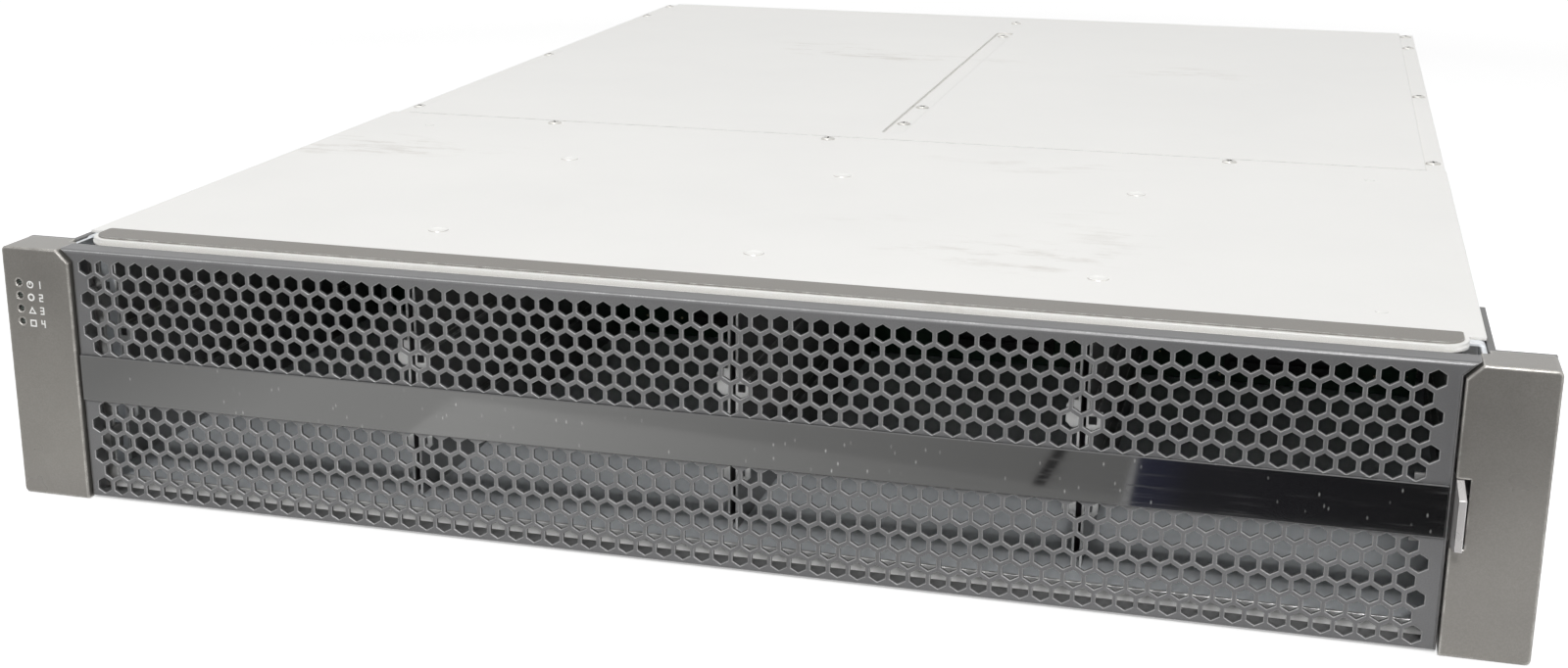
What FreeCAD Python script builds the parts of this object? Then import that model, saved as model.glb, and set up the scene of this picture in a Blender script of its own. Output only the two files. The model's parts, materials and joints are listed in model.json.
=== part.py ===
"""Disk shelf enclosure, two rack units high, with twelve empty drive bays.

Millimetres. X runs across the front, Y from the front to the rear, Z up. While the pieces are
made, Y is counted from the front faces of the ear covers and Z from the underside of the chassis.
At the end every piece moves along Y, so that the origin is the middle of the whole, at its base.
"""
import FreeCAD, Part
import math
import os

Vector = FreeCAD.Vector

# Rack and chassis
RACK_WIDTH = 482.6
RACK_HOLE_INSET = 8.75
RACK_HOLE_MARGIN = 5.0
RACK_SLOT_WIDTH = 6.8
RACK_SLOT_LENGTH = 10.5
EAR_REACH = 18.3
CHASSIS_HEIGHT = 87.5
CHASSIS_REAR = 648.0
SHEET = 1.0
BEND = 1.0
SQUARE = None
SEAT_GAP = 0.3
SLIDE_GAP = 0.7
RUN_GAP = 0.05

# Ear covers, the hollow caps in front of the rack brackets
EAR_COVER_WIDTH = 24.6
EAR_COVER_DEPTH = 15.0
EAR_COVER_BOTTOM = 0.2
EAR_COVER_DROP = 1.1
EAR_COVER_WALL = 1.8
EAR_COVER_CORNER = 1.6
EAR_CHAMFER = 4.3
EAR_EDGE = 0.35
EAR_ROOM = 0.5
EAR_RIB_HEIGHTS = (26.0, 47.0)
EAR_RIB_SHEET = 1.2

# Rack brackets
BRACKET_SHEET = 2.0
BRACKET_LEG = 47.0

# Indicators in the left ear cover
INDICATOR_INSET = 5.5
INDICATOR_DROP = 12.0
INDICATOR_PITCH = 4.45
INDICATOR_COUNT = 4
LENS_R = 1.1
LENS_RECESS = 0.6
LENS_GAP = 0.1
BOARD_SHEET = 1.6
INDICATOR_BOARD_FRONT = 7.0
INDICATOR_BOARD_WIDTH = 7.0
INDICATOR_BOARD_END = 3.2
BOARD_POST = 2.0

# Bezel
BEZEL_SHEET = 1.2
BEZEL_RECESS = 1.2
BEZEL_SIDE_GAP = 0.5
BEZEL_BOTTOM = 0.8
BEZEL_DROP = 0.9
BEZEL_RETURN = 9.0
BEZEL_SIDE_RETURN = 7.5
BAND_PROUD = 1.0
BAND_TALL = 15.8
BAND_BELOW_MIDDLE = 0.6
BAND_END_MARGIN = 0.7
BAND_EDGE = 0.35

# Hexagonal perforation of the bezel. The real one is finer by the coarseness, which keeps the model light.
FINE_HEX_PITCH = 6.17
FINE_HEX_FLATS = 4.8
HEX_COARSENESS = 3
HEX_SIDE_MARGIN = 4.2
HEX_EDGE_MARGIN = 0.25

# Bezel hooks
HOOK_INSET = 18.0
HOOK_TALL = 8.0
HOOK_SHEET = 1.2
HOOK_REACH = 2.6
HOOK_SLACK = 0.5
CATCH_WIDTH = 9.0

# Front frame and ledge
FRAME_FRONT = 12.0
FRAME_RAIL = 4.0
FRAME_POST_LAP = 3.2
LEDGE_GAP = 0.4

# Top covers
COVER_SEAM = 256.0
SEAM_GAP = 1.0
SEAM_RELIEF = 1.0
LIP_FRONT = 12.6
LIP_SIDE_STEP = 4.8
LIP_CORNER = 8.0
LIP_HEM = 8.0
LIP_DEPTH = 11.4
TRIM_THICK = 0.6
TRIM_MARGIN = 1.4
TRIM_DEPTH = 12.0
TRIM_REAR_CORNER = 1.0
SIDE_FLANGE = 7.0
RECESS = 1.0
SIDE_RECESS_WIDTH = 7.5
CENTRE_RECESS_WIDTH = 9.0
CENTRE_RECESS_START = 15.0
CENTRE_RECESS_END = 65.0
CENTRE_RECESS_CORNER = 2.7

# Cover screws: places behind the seam, and places in front of the rear edge
SMALL_SIDES = 8
SCREW_HEAD_R = 2.9
SCREW_HEAD_HIGH = 0.8
SEAM_SCREW_BACK = 6.0
SEAM_SCREWS_X = (-144.0, -22.5, 141.0)
CENTRE_SCREWS_BEHIND_SEAM = (41.3, 83.0)
CENTRE_SCREWS_BEFORE_REAR = (75.0, 26.0)
SIDE_SCREWS_BEHIND_SEAM = (19.0, 179.0)
SIDE_SCREWS_BEFORE_REAR = (52.5, 8.5)
SIDE_SCREW_INSET = 4.0

# Bays
BAY_COLUMNS = 4
BAY_ROWS = 3
DIVIDER_FRONT = 33.0
DIVIDER_GAP = 4.0
DIVIDER_WIDTH = 3.4
DIVIDER_SHEET = 0.8
GUIDE_DROP = 6.8
GUIDE_REACH = 2.6
GUIDE_SHEET = 1.0
GUIDE_END = 2.0
TAB_TALL = 8.8
TAB_REACH = 3.6
TAB_CUT = 1.6
CLIP_REACH = 4.2
CLIP_TALL = 6.0
CLIP_DROP = 5.0
CLIP_WALL = 1.8

# Midplane board with its connectors, and the steel frame behind it
MIDPLANE_SETBACK = 20.0
MIDPLANE_SHEET = 2.4
MIDPLANE_MARGIN = 4.0
AIR_WINDOW_WIDTH = 66.0
AIR_WINDOW_TALL = 9.0
AIR_WINDOW_RISE = 5.5
DRIVE_CONNECTOR_WIDTH = 43.0
DRIVE_CONNECTOR_DEPTH = 5.5
DRIVE_CONNECTOR_BASE = 2.0
DRIVE_CONNECTOR_TALL = 6.5
DRIVE_CONNECTOR_DROP = 5.0
DRIVE_TONGUE_MARGIN = 2.0
MODULE_CONNECTOR_WIDTH = 64.0
MODULE_CONNECTOR_DEPTH = 14.0
MODULE_CONNECTOR_TALL = 9.0
MODULE_CONNECTOR_PLACE = 54.0
FRAME_WINDOW_WIDTH = 80.0
FRAME_WINDOW_MARGIN = 7.0
SEAM_FLANGE_REACH = 12.0

# Rear half
MODULE_SETBACK = 6.0
WALL_END = 3.0
WALL_FLANGE = 10.0
SHELF_FLANGE = 5.0
MODULE_SHEET = 1.0
FACE_SHEET = 1.5
BOARD_MARGIN = 5.0
BOARD_RISE = 4.0
BOARD_SETBACK = 3.0
BOARD_END_GAP = 4.0
STANDOFF = 6.0
STANDOFF_FRONT = 24.0
STANDOFF_REAR = 150.0
PLUG_DEPTH = 12.0
PARTS_SETBACK = 40.0

# Parts on the module boards, each by its width, length and height
CAPACITOR_BANK = (60.0, 90.0, 24.0)
HEAT_SINK = (36.0, 150.0, 26.0)
TRANSFORMER = (45.0, 70.0, 20.0)
CHIP_COOLER = (45.0, 45.0, 14.0)
CONTROL_CHIP = (30.0, 30.0, 3.0)
MEMORY_CARD = (8.0, 120.0, 20.0)

# Power supply face
FAN_PLACE = 28.0
FAN_RING = 1.2
FAN_DEPTH = 20.0
FAN_TIP_GAP = 0.8
FAN_HUB_R = 8.0
FAN_HUB_SIDES = 12
FAN_STRUTS = 3
FAN_STRUT_WIDTH = 2.0
FAN_PLATE = 1.5
FAN_BLADES = 5
FAN_BLADE_SHEET = 1.0
FAN_BLADE_CHORD = 12.0
FAN_BLADE_PITCH = 50.0
FAN_BLADE_ROOT = 2.0
FAN_ROTOR_SHORT = 6.0
GUARD_PITCH = 4.8
GUARD_SLOT_WIDTH = 3.4
GUARD_MARGIN = 0.6
HANDLE_SPAN = 44.0
HANDLE_REACH = 24.0
HANDLE_SHEET = 3.0
HANDLE_TALL = 12.0
HANDLE_CORNER = 8.0
SWITCH_INSET = 62.1
SWITCH_WIDTH = 10.0
SWITCH_TALL = 17.0
SWITCH_WELL_MARGIN = 0.25
SWITCH_TILT = 6.0
SWITCH_PROUD = 2.5
SWITCH_AXIS_DEPTH = 3.0
SWITCH_ROOT = 3.0
SWITCH_TAPER = 2.5
SWITCH_END_GAP = 1.2
SWITCH_EDGE = 1.2
SWITCH_DIP = 1.0
INLET_INSET = 38.1
INLET_WIDTH = 24.0
INLET_TALL = 16.5
INLET_DEPTH = 18.0
INLET_WALL = 1.6
INLET_FLANGE = 2.0
INLET_LIP = 2.4
INLET_LIP_CORNER = 2.0
INLET_CORNER = 4.0
BLADE_LONG = 8.0
BLADE_WIDE = 4.0
BLADE_SHEET = 2.0
BLADE_SPREAD = 7.0
BLADE_RISE = 3.0
BLADE_DROP = 1.5
LEVER_INSET = 11.1
PSU_LATCH_ARM = 20.0
PSU_LATCH_WIDTH = 10.0
PSU_LATCH_LIP = 5.0

# Interface module face
NET_INSET = 68.1
NET_WIDTH = 14.0
NET_TALL = 12.0
PORT_TO_NET = 24.0
PORT_PITCH = 30.0
PORT_WIDTH = 20.0
PORT_TALL = 9.0
PORT_DEPTH = 28.0
PORT_WALL = 0.8
PORT_PROUD = 2.0
VENT_FIRST = 12.0
VENT_PITCH = 10.0
VENT_WIDTH = 4.0
VENT_TALL = 24.0
LEVER_ARM = 38.0
LEVER_TALL = 14.0
LEVER_SHEET = 2.4
LEVER_CURL = 5.0
LEVER_PIN_R = 1.5
LEVER_HUB_R = 3.2
LEVER_STAND_OFF = 0.2
LUG_SHEET = 1.6

# Latch beside the bezel: distances across count from the ear cover's inner side
LATCH_PIVOT_INSET = 4.1
LATCH_PIVOT_Y = 9.4
LATCH_PIN_R = 1.0
LATCH_HUB_R = 2.1
LATCH_TALL = 20.0
LATCH_TIP_Y = -6.0
LATCH_TIP_INSET = 1.0
LATCH_TIP_SLOPE_LOW = 1.0
LATCH_TIP_SLOPE_HIGH = 4.0
LATCH_SIDE_GAP = 0.25
LATCH_SHEET = 2.0
LATCH_NOSE = 0.3
LATCH_NOSE_BEFORE_PIVOT = 4.2
LATCH_NOSE_HALF = 1.2
LATCH_WEB = 1.3
LATCH_LUG_SHEET = 1.5
LATCH_LUG_GAP = 0.3
LATCH_SLOT_WIDTH = 4.0
LATCH_BASE_REACH = 10.2
LATCH_ROOM_END = 6.0
SPRING_SHEET = 0.4
SPRING_TALL = 8.0
SPRING_FOOT = 6.0
SPRING_CLEAR = 0.85

# Derived: across the front
HALF_RACK = RACK_WIDTH / 2
HALF_CHASSIS = HALF_RACK - EAR_REACH
INNER_HALF = HALF_CHASSIS - SHEET
EAR_COVER_INNER = HALF_RACK - EAR_COVER_WIDTH
BEZEL_HALF_WIDTH = EAR_COVER_INNER - BEZEL_SIDE_GAP
BAND_HALF_WIDTH = BEZEL_HALF_WIDTH - BAND_END_MARGIN
FRAME_POST_INNER = BEZEL_HALF_WIDTH - FRAME_POST_LAP
LIP_HALF_WIDTH = HALF_CHASSIS - LIP_SIDE_STEP
RACK_HOLE_SPACING = RACK_WIDTH - 2 * RACK_HOLE_INSET
INDICATOR_X = HALF_RACK - INDICATOR_INSET
COLUMN_PITCH = 2 * INNER_HALF / BAY_COLUMNS
DIVIDERS_X = (-COLUMN_PITCH, 0.0, COLUMN_PITCH)
COLUMNS_X = tuple((i - (BAY_COLUMNS - 1) / 2) * COLUMN_PITCH for i in range(BAY_COLUMNS))
LATCH_PIVOT_X = EAR_COVER_INNER + LATCH_PIVOT_INSET
LATCH_TIP_X = EAR_COVER_INNER + LATCH_TIP_INSET
LATCH_NECK_X = EAR_COVER_INNER + LATCH_SIDE_GAP
LATCH_ROOM_X = EAR_COVER_INNER + EAR_COVER_WALL
LATCH_BASE_RIGHT = LATCH_PIVOT_X + LATCH_BASE_REACH

# Derived: heights
EAR_COVER_TOP = CHASSIS_HEIGHT - EAR_COVER_DROP
RACK_HOLE_RISE = EAR_COVER_TOP - EAR_COVER_BOTTOM - 2 * RACK_HOLE_MARGIN
RACK_HOLES_MIDDLE = (EAR_COVER_BOTTOM + EAR_COVER_TOP) / 2
COVER_UNDER = CHASSIS_HEIGHT - SHEET
REAR_FLANGE_TOP = COVER_UNDER - RECESS
FRAME_TOP = COVER_UNDER - SHEET - SEAT_GAP
BEZEL_TOP = CHASSIS_HEIGHT - BEZEL_DROP
BAND_MIDDLE = (BEZEL_BOTTOM + BEZEL_TOP) / 2 - BAND_BELOW_MIDDLE
BAND_LOW = BAND_MIDDLE - BAND_TALL / 2
BAND_HIGH = BAND_MIDDLE + BAND_TALL / 2
HOOK_HEIGHTS = (BEZEL_BOTTOM + HOOK_INSET, BEZEL_TOP - HOOK_INSET)
LATCH_LOW = BAND_MIDDLE - LATCH_TALL / 2
LATCH_HIGH = BAND_MIDDLE + LATCH_TALL / 2
INDICATOR_HEIGHTS = tuple(EAR_COVER_TOP - INDICATOR_DROP - i * INDICATOR_PITCH
                          for i in range(INDICATOR_COUNT))
BAY_PITCH_Z = FRAME_TOP / BAY_ROWS
GUIDE_HEIGHTS = tuple(SHEET + BAY_PITCH_Z * (row + 1) - GUIDE_DROP for row in range(BAY_ROWS))
SHELF_Z = (REAR_FLANGE_TOP - SHEET) / 2
LOWER_MODULE = (SHEET + SEAT_GAP, SHELF_Z - SEAT_GAP)
UPPER_MODULE = (SHELF_Z + SHEET + SEAT_GAP, REAR_FLANGE_TOP - SHEET - SEAT_GAP)

# Derived: from the front to the rear
BEZEL_BACK = BEZEL_RECESS + BEZEL_SHEET
BEZEL_REAR = BEZEL_RECESS + BEZEL_RETURN - BEZEL_SHEET
LEDGE_FRONT = BEZEL_REAR + LEDGE_GAP
TRAY_FRONT = FRAME_FRONT + SHEET
EAR_COVER_SIDE_DEPTH = FRAME_FRONT - EAR_ROOM
PANEL_FRONT = COVER_SEAM + SEAM_GAP
MIDPLANE_FRONT = COVER_SEAM - MIDPLANE_SETBACK
MIDPLANE_BACK = MIDPLANE_FRONT + MIDPLANE_SHEET
DIVIDER_REAR = MIDPLANE_FRONT - DIVIDER_GAP
MODULE_FRONT = COVER_SEAM + MODULE_SETBACK
WALL_REAR = CHASSIS_REAR - WALL_END
FACE_BACK = CHASSIS_REAR - FACE_SHEET
REAR_REACH = CHASSIS_REAR + HANDLE_REACH
PIVOT_Y = CHASSIS_REAR + LEVER_HUB_R + LEVER_STAND_OFF
PLUG_FRONT = MIDPLANE_BACK + MODULE_CONNECTOR_DEPTH + SEAT_GAP
ORIGIN_Y = (LATCH_TIP_Y + REAR_REACH) / 2

# Derived: places on a rear module, from its left side
MODULE_WIDTH = INNER_HALF - SHEET / 2 - 2 * (SHEET + SLIDE_GAP)
MODULE_LEFT = {"left": -INNER_HALF + SHEET + SLIDE_GAP, "right": SHEET / 2 + SHEET + SLIDE_GAP}
FAN_SIZE = UPPER_MODULE[1] - UPPER_MODULE[0] - 2 * (MODULE_SHEET + SEAT_GAP)
FAN_BORE_R = FAN_SIZE / 2 - FAN_RING
SWITCH_PLACE = MODULE_WIDTH - SWITCH_INSET
INLET_PLACE = MODULE_WIDTH - INLET_INSET
LEVER_PLACE = MODULE_WIDTH - LEVER_INSET
NET_PLACE = MODULE_WIDTH - NET_INSET
PORT_PLACES = (NET_PLACE - PORT_TO_NET - PORT_PITCH, NET_PLACE - PORT_TO_NET)
HOUSING_LEFT = SWITCH_PLACE - SWITCH_WIDTH / 2 - INLET_WALL
HOUSING_RIGHT = INLET_PLACE + INLET_WIDTH / 2 + INLET_WALL
HANDLE_PLACE = (FAN_PLACE + FAN_SIZE / 2 + HOUSING_LEFT - INLET_LIP) / 2
SIDES = {"left": -1, "right": 1}

os.makedirs("parts", exist_ok=True)


def point(plane, u, v, level):
    """A point of a flat outline: u and v lie in the plane, level is the third direction."""
    if plane == "xy":
        return Vector(u, v, level)
    if plane == "xz":
        return Vector(u, level, v)
    return Vector(level, u, v)


def along(plane, length):
    """The vector that an outline in this plane is extruded along."""
    if plane == "xy":
        return Vector(0, 0, length)
    if plane == "xz":
        return Vector(0, length, 0)
    return Vector(length, 0, 0)


def rounded_wire(corners, radii):
    """A closed wire through flat corners, each one rounded by its own radius."""
    count = len(corners)
    edges = []
    last = None
    first = None
    for i, corner in enumerate(corners):
        radius = radii[i]
        start = corner
        end = corner
        if radius > 0:
            back = (corners[i - 1] - corner).normalize()
            ahead = (corners[(i + 1) % count] - corner).normalize()
            half = back.getAngle(ahead) / 2
            reach = radius / math.tan(half)
            start = corner + back * reach
            end = corner + ahead * reach
            middle = (back + ahead).normalize()
            centre = corner + middle * (radius / math.sin(half))
        if last is None:
            first = start
        elif (start - last).Length > 1e-6:
            edges.append(Part.makeLine(last, start))
        if radius > 0:
            edges.append(Part.Arc(start, centre - middle * radius, end).toShape())
        last = end
    if (first - last).Length > 1e-6:
        edges.append(Part.makeLine(last, first))
    return Part.Wire(edges)


def outline(plane, corners, level, radii=0):
    """A closed wire in one plane. radii is one number for all corners, or a list."""
    if not isinstance(radii, (list, tuple)):
        radii = [radii] * len(corners)
    return rounded_wire([point(plane, u, v, level) for u, v in corners], radii)


def prism(plane, corners, low, high, radii=0, holes=()):
    """A flat outline with optional inner wires, extruded from low to high."""
    face = Part.Face(outline(plane, corners, low, radii))
    if holes:
        face = face.cut([Part.Face(wire) for wire in holes]).Faces[0]
    return face.extrude(along(plane, high - low))


def block(x, y, z):
    """A plain box between pairs of limits."""
    return Part.makeBox(x[1] - x[0], y[1] - y[0], z[1] - z[0], Vector(x[0], y[0], z[0]))


def rod(radius, start, direction, length):
    """A round bar from its start along a direction."""
    return Part.makeCylinder(radius, length, Vector(*start), Vector(*direction))


def rectangle(centre_u, centre_v, width, height):
    """The four corners of a rectangle about a centre."""
    u0, u1 = centre_u - width / 2, centre_u + width / 2
    v0, v1 = centre_v - height / 2, centre_v + height / 2
    return [(u0, v0), (u1, v0), (u1, v1), (u0, v1)]


def polygon(centre_u, centre_v, radius, sides):
    """The corners of a regular outline. Round pieces too small to need a true circle use it too."""
    turns = [2 * math.pi * (i + 0.5) / sides for i in range(sides)]
    return [(centre_u + radius * math.cos(turn), centre_v + radius * math.sin(turn)) for turn in turns]


def join(*shapes):
    """Fuse shapes that touch or overlap into one clean solid."""
    return shapes[0].fuse(shapes[1:]).removeSplitter()


def bent_sheet(plane, path, thick, low, high, bend=BEND):
    """Sheet metal: a path of corners on one face, thickened to its left. A bend is round or SQUARE."""
    directions = []
    for (u0, v0), (u1, v1) in zip(path, path[1:]):
        length = math.hypot(u1 - u0, v1 - v0)
        directions.append(((u1 - u0) / length, (v1 - v0) / length))
    normals = [(-dv, du) for du, dv in directions]
    other = [(path[0][0] + thick * normals[0][0], path[0][1] + thick * normals[0][1])]
    near_radii = [0]
    far_radii = [0]
    for i in range(1, len(path) - 1):
        before, after = directions[i - 1], directions[i]
        n0, n1 = normals[i - 1], normals[i]
        share = thick / (1 + n0[0] * n1[0] + n0[1] * n1[1])
        other.append((path[i][0] + share * (n0[0] + n1[0]), path[i][1] + share * (n0[1] + n1[1])))
        inside = 0 if bend is SQUARE else bend
        outside = 0 if bend is SQUARE else bend + thick
        turns_left = before[0] * after[1] - before[1] * after[0] > 0
        near_radii.append(outside if turns_left else inside)
        far_radii.append(inside if turns_left else outside)
    other.append((path[-1][0] + thick * normals[-1][0], path[-1][1] + thick * normals[-1][1]))
    near_radii.append(0)
    far_radii.append(0)
    return prism(plane, path + other[::-1], low, high, near_radii + far_radii[::-1])


def mirrored(shape):
    """The same piece on the other side of the middle plane."""
    return shape.mirror(Vector(0, 0, 0), Vector(1, 0, 0))


def chassis_tray():
    """Floor and side walls of one sheet, with inward flanges that carry the top covers."""
    def channel(front, rear, flange_top):
        inner = HALF_CHASSIS - SIDE_FLANGE
        path = [(-inner, flange_top), (-HALF_CHASSIS, flange_top), (-HALF_CHASSIS, 0),
                (HALF_CHASSIS, 0), (HALF_CHASSIS, flange_top), (inner, flange_top)]
        return bent_sheet("xz", path, SHEET, front, rear)
    front_half = channel(TRAY_FRONT, COVER_SEAM, COVER_UNDER)
    tray = join(front_half, channel(COVER_SEAM, CHASSIS_REAR, REAR_FLANGE_TOP))
    lip_rear = LIP_FRONT + LIP_HEM + SEAT_GAP
    relief = (COVER_SEAM - SEAM_RELIEF, COVER_SEAM + SEAM_RELIEF)
    cuts = []
    for side in SIDES.values():
        edge = sorted((side * HALF_CHASSIS, side * (HALF_CHASSIS - SIDE_FLANGE - 1)))
        cuts.append(block(edge, (0, lip_rear), (COVER_UNDER - SHEET, CHASSIS_HEIGHT)))
        cuts.append(block(edge, relief, (REAR_FLANGE_TOP - SHEET, CHASSIS_HEIGHT)))
    return tray.cut(cuts)


def lip_outline():
    """The plan of the top cover: a narrower lip with round corners in front of the full width."""
    step = LIP_FRONT + LIP_DEPTH
    return [(-LIP_HALF_WIDTH, LIP_FRONT), (LIP_HALF_WIDTH, LIP_FRONT), (LIP_HALF_WIDTH, step),
            (HALF_CHASSIS, step), (HALF_CHASSIS, COVER_SEAM), (-HALF_CHASSIS, COVER_SEAM),
            (-HALF_CHASSIS, step), (-LIP_HALF_WIDTH, step)]


def top_cover():
    """The front cover, with its front edge hemmed under to twice the thickness."""
    sheet = prism("xy", lip_outline(), COVER_UNDER, CHASSIS_HEIGHT, [LIP_CORNER, LIP_CORNER] + [0] * 6)
    hem_plan = [(-LIP_HALF_WIDTH, LIP_FRONT), (LIP_HALF_WIDTH, LIP_FRONT),
                (LIP_HALF_WIDTH, LIP_FRONT + LIP_HEM), (-LIP_HALF_WIDTH, LIP_FRONT + LIP_HEM)]
    hem = prism("xy", hem_plan, COVER_UNDER - SHEET, COVER_UNDER, [LIP_CORNER - 1, LIP_CORNER - 1, 0, 0])
    return join(sheet, hem)


def cover_trim_strip():
    """The thin grey strip that lies on the cover's front lip."""
    half = LIP_HALF_WIDTH - TRIM_MARGIN
    front = LIP_FRONT + TRIM_MARGIN
    plan = [(-half, front), (half, front), (half, front + TRIM_DEPTH), (-half, front + TRIM_DEPTH)]
    corner = LIP_CORNER - TRIM_MARGIN
    radii = [corner, corner, TRIM_REAR_CORNER, TRIM_REAR_CORNER]
    return prism("xy", plan, CHASSIS_HEIGHT, CHASSIS_HEIGHT + TRIM_THICK, radii)


def rear_top_panel():
    """The rear cover: a raised field on each side of a pressed middle channel, with low side edges."""
    half_field = HALF_CHASSIS - SIDE_RECESS_WIDTH
    half_slot = CENTRE_RECESS_WIDTH / 2
    slot_front = COVER_SEAM + CENTRE_RECESS_START
    slot_rear = CHASSIS_REAR - CENTRE_RECESS_END
    slot = outline("xy", [(-half_slot, slot_front), (half_slot, slot_front), (half_slot, slot_rear),
                          (-half_slot, slot_rear)], COVER_UNDER, CENTRE_RECESS_CORNER)
    field = prism("xy", [(-half_field, PANEL_FRONT), (half_field, PANEL_FRONT),
                         (half_field, CHASSIS_REAR), (-half_field, CHASSIS_REAR)],
                  COVER_UNDER, CHASSIS_HEIGHT, 0, [slot])
    web = SHEET
    channel = block((-half_slot - web, half_slot + web), (slot_front - web, slot_rear + web),
                    (REAR_FLANGE_TOP, COVER_UNDER))
    edges = [block(sorted((side * (half_field - web), side * HALF_CHASSIS)), (PANEL_FRONT, CHASSIS_REAR),
                   (REAR_FLANGE_TOP, COVER_UNDER)) for side in SIDES.values()]
    return join(field, channel, *edges)


def cover_screws():
    """Low round screw heads on the seam, in the middle channel and in the side edges."""
    places = [(x, COVER_SEAM - SEAM_SCREW_BACK, CHASSIS_HEIGHT) for x in SEAM_SCREWS_X]
    centre_y = [COVER_SEAM + y for y in CENTRE_SCREWS_BEHIND_SEAM]
    centre_y += [CHASSIS_REAR - y for y in CENTRE_SCREWS_BEFORE_REAR]
    side_y = [COVER_SEAM + y for y in SIDE_SCREWS_BEHIND_SEAM]
    side_y += [CHASSIS_REAR - y for y in SIDE_SCREWS_BEFORE_REAR]
    side_x = HALF_CHASSIS - SIDE_SCREW_INSET
    channel_end = CHASSIS_REAR - CENTRE_RECESS_END
    places += [(0, y, COVER_UNDER if y < channel_end else CHASSIS_HEIGHT) for y in centre_y]
    places += [(side * side_x, y, COVER_UNDER) for side in SIDES.values() for y in side_y]
    return Part.Compound([prism("xy", polygon(x, y, SCREW_HEAD_R, SMALL_SIDES), z, z + SCREW_HEAD_HIGH)
                          for x, y, z in places])


def front_frame():
    """The bright sheet behind the bezel: one wide opening with posts for the hooks, and a ledge on top."""
    half = HALF_CHASSIS - SEAT_GAP
    back = TRAY_FRONT
    low = SHEET + FRAME_RAIL
    high = FRAME_TOP - FRAME_RAIL
    opening = outline("xz", [(-FRAME_POST_INNER, low), (FRAME_POST_INNER, low), (FRAME_POST_INNER, high),
                             (-FRAME_POST_INNER, high)], FRAME_FRONT)
    plate = prism("xz", [(-half, SEAT_GAP), (half, SEAT_GAP), (half, FRAME_TOP), (-half, FRAME_TOP)],
                  FRAME_FRONT, back, 0, [opening])
    ledge_half = EAR_COVER_INNER - SEAT_GAP
    ledge = block((-ledge_half, ledge_half), (LEDGE_FRONT, back), (FRAME_TOP - SHEET, FRAME_TOP))
    result = join(plate, ledge)
    latch_room = block((LATCH_ROOM_X, half + 1), (FRAME_FRONT - 1, back + 1),
                       (LATCH_LOW - LATCH_ROOM_END, LATCH_HIGH + LATCH_ROOM_END))
    return result.cut(latch_room)


def bezel_side_line(z):
    """How far the bezel reaches sideways at a height: it widens over the ear covers' chamfers."""
    chamfer_line = EAR_COVER_INNER + EAR_CHAMFER - EAR_COVER_TOP
    gap = (EAR_COVER_INNER - BEZEL_HALF_WIDTH) * math.sqrt(2)
    return max(BEZEL_HALF_WIDTH, chamfer_line - gap + z)


def bezel_panel():
    """Perforated front sheet with returned edges and flared top corners."""
    flare = bezel_side_line(BEZEL_TOP)
    flare_start = BEZEL_TOP - (flare - BEZEL_HALF_WIDTH)
    back = BEZEL_REAR
    face_low = BEZEL_BOTTOM + BEZEL_SHEET
    face_high = BEZEL_TOP - BEZEL_SHEET
    side_high = bezel_side_line(face_high)
    corners = [(-BEZEL_HALF_WIDTH, face_low), (BEZEL_HALF_WIDTH, face_low), (BEZEL_HALF_WIDTH, flare_start),
               (side_high, face_high), (-side_high, face_high), (-BEZEL_HALF_WIDTH, flare_start)]
    holes = hexagon_wires(face_low, BAND_LOW) + hexagon_wires(BAND_HIGH, face_high)
    face = prism("xz", corners, BEZEL_RECESS, BEZEL_BACK, 0, holes)
    top = prism("xz", [(-side_high, face_high), (side_high, face_high), (flare, BEZEL_TOP), (-flare, BEZEL_TOP)],
                BEZEL_RECESS, back)
    bottom = block((-BEZEL_HALF_WIDTH, BEZEL_HALF_WIDTH), (BEZEL_RECESS, back), (BEZEL_BOTTOM, face_low))
    sides = []
    for side in SIDES.values():
        edge = sorted((side * BEZEL_HALF_WIDTH, side * (BEZEL_HALF_WIDTH - BEZEL_SHEET)))
        sides.append(block(edge, (BEZEL_BACK, BEZEL_RECESS + BEZEL_SIDE_RETURN), (face_low, flare_start)))
    return join(face, top, bottom, *sides)


def hexagon_wires(low, high):
    """The perforation between two heights: staggered rows of pointed hexagons."""
    pitch = FINE_HEX_PITCH * HEX_COARSENESS
    corner_r = FINE_HEX_FLATS * HEX_COARSENESS / math.sqrt(3)
    row_pitch = pitch * math.sqrt(3) / 2
    widest = int(2 * (BEZEL_HALF_WIDTH - HEX_SIDE_MARGIN) / pitch)
    rows = 1 + int((high - low - 2 * (corner_r + HEX_EDGE_MARGIN)) / row_pitch)
    wires = []
    for row in range(rows):
        z = (low + high) / 2 + (row - (rows - 1) / 2) * row_pitch
        count = widest - row % 2
        for i in range(count):
            x = (i - (count - 1) / 2) * pitch
            wires.append(outline("xz", polygon(x, z, corner_r, 6), BEZEL_RECESS))
    return wires


def bezel_band():
    """The glossy strip across the bezel, with eased long edges."""
    front = BEZEL_RECESS - BAND_PROUD
    section = [(front, BAND_LOW + BAND_EDGE), (front + BAND_EDGE, BAND_LOW), (BEZEL_RECESS, BAND_LOW),
               (BEZEL_RECESS, BAND_HIGH), (front + BAND_EDGE, BAND_HIGH), (front, BAND_HIGH - BAND_EDGE)]
    return prism("yz", section, -BAND_HALF_WIDTH, BAND_HALF_WIDTH)


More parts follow.
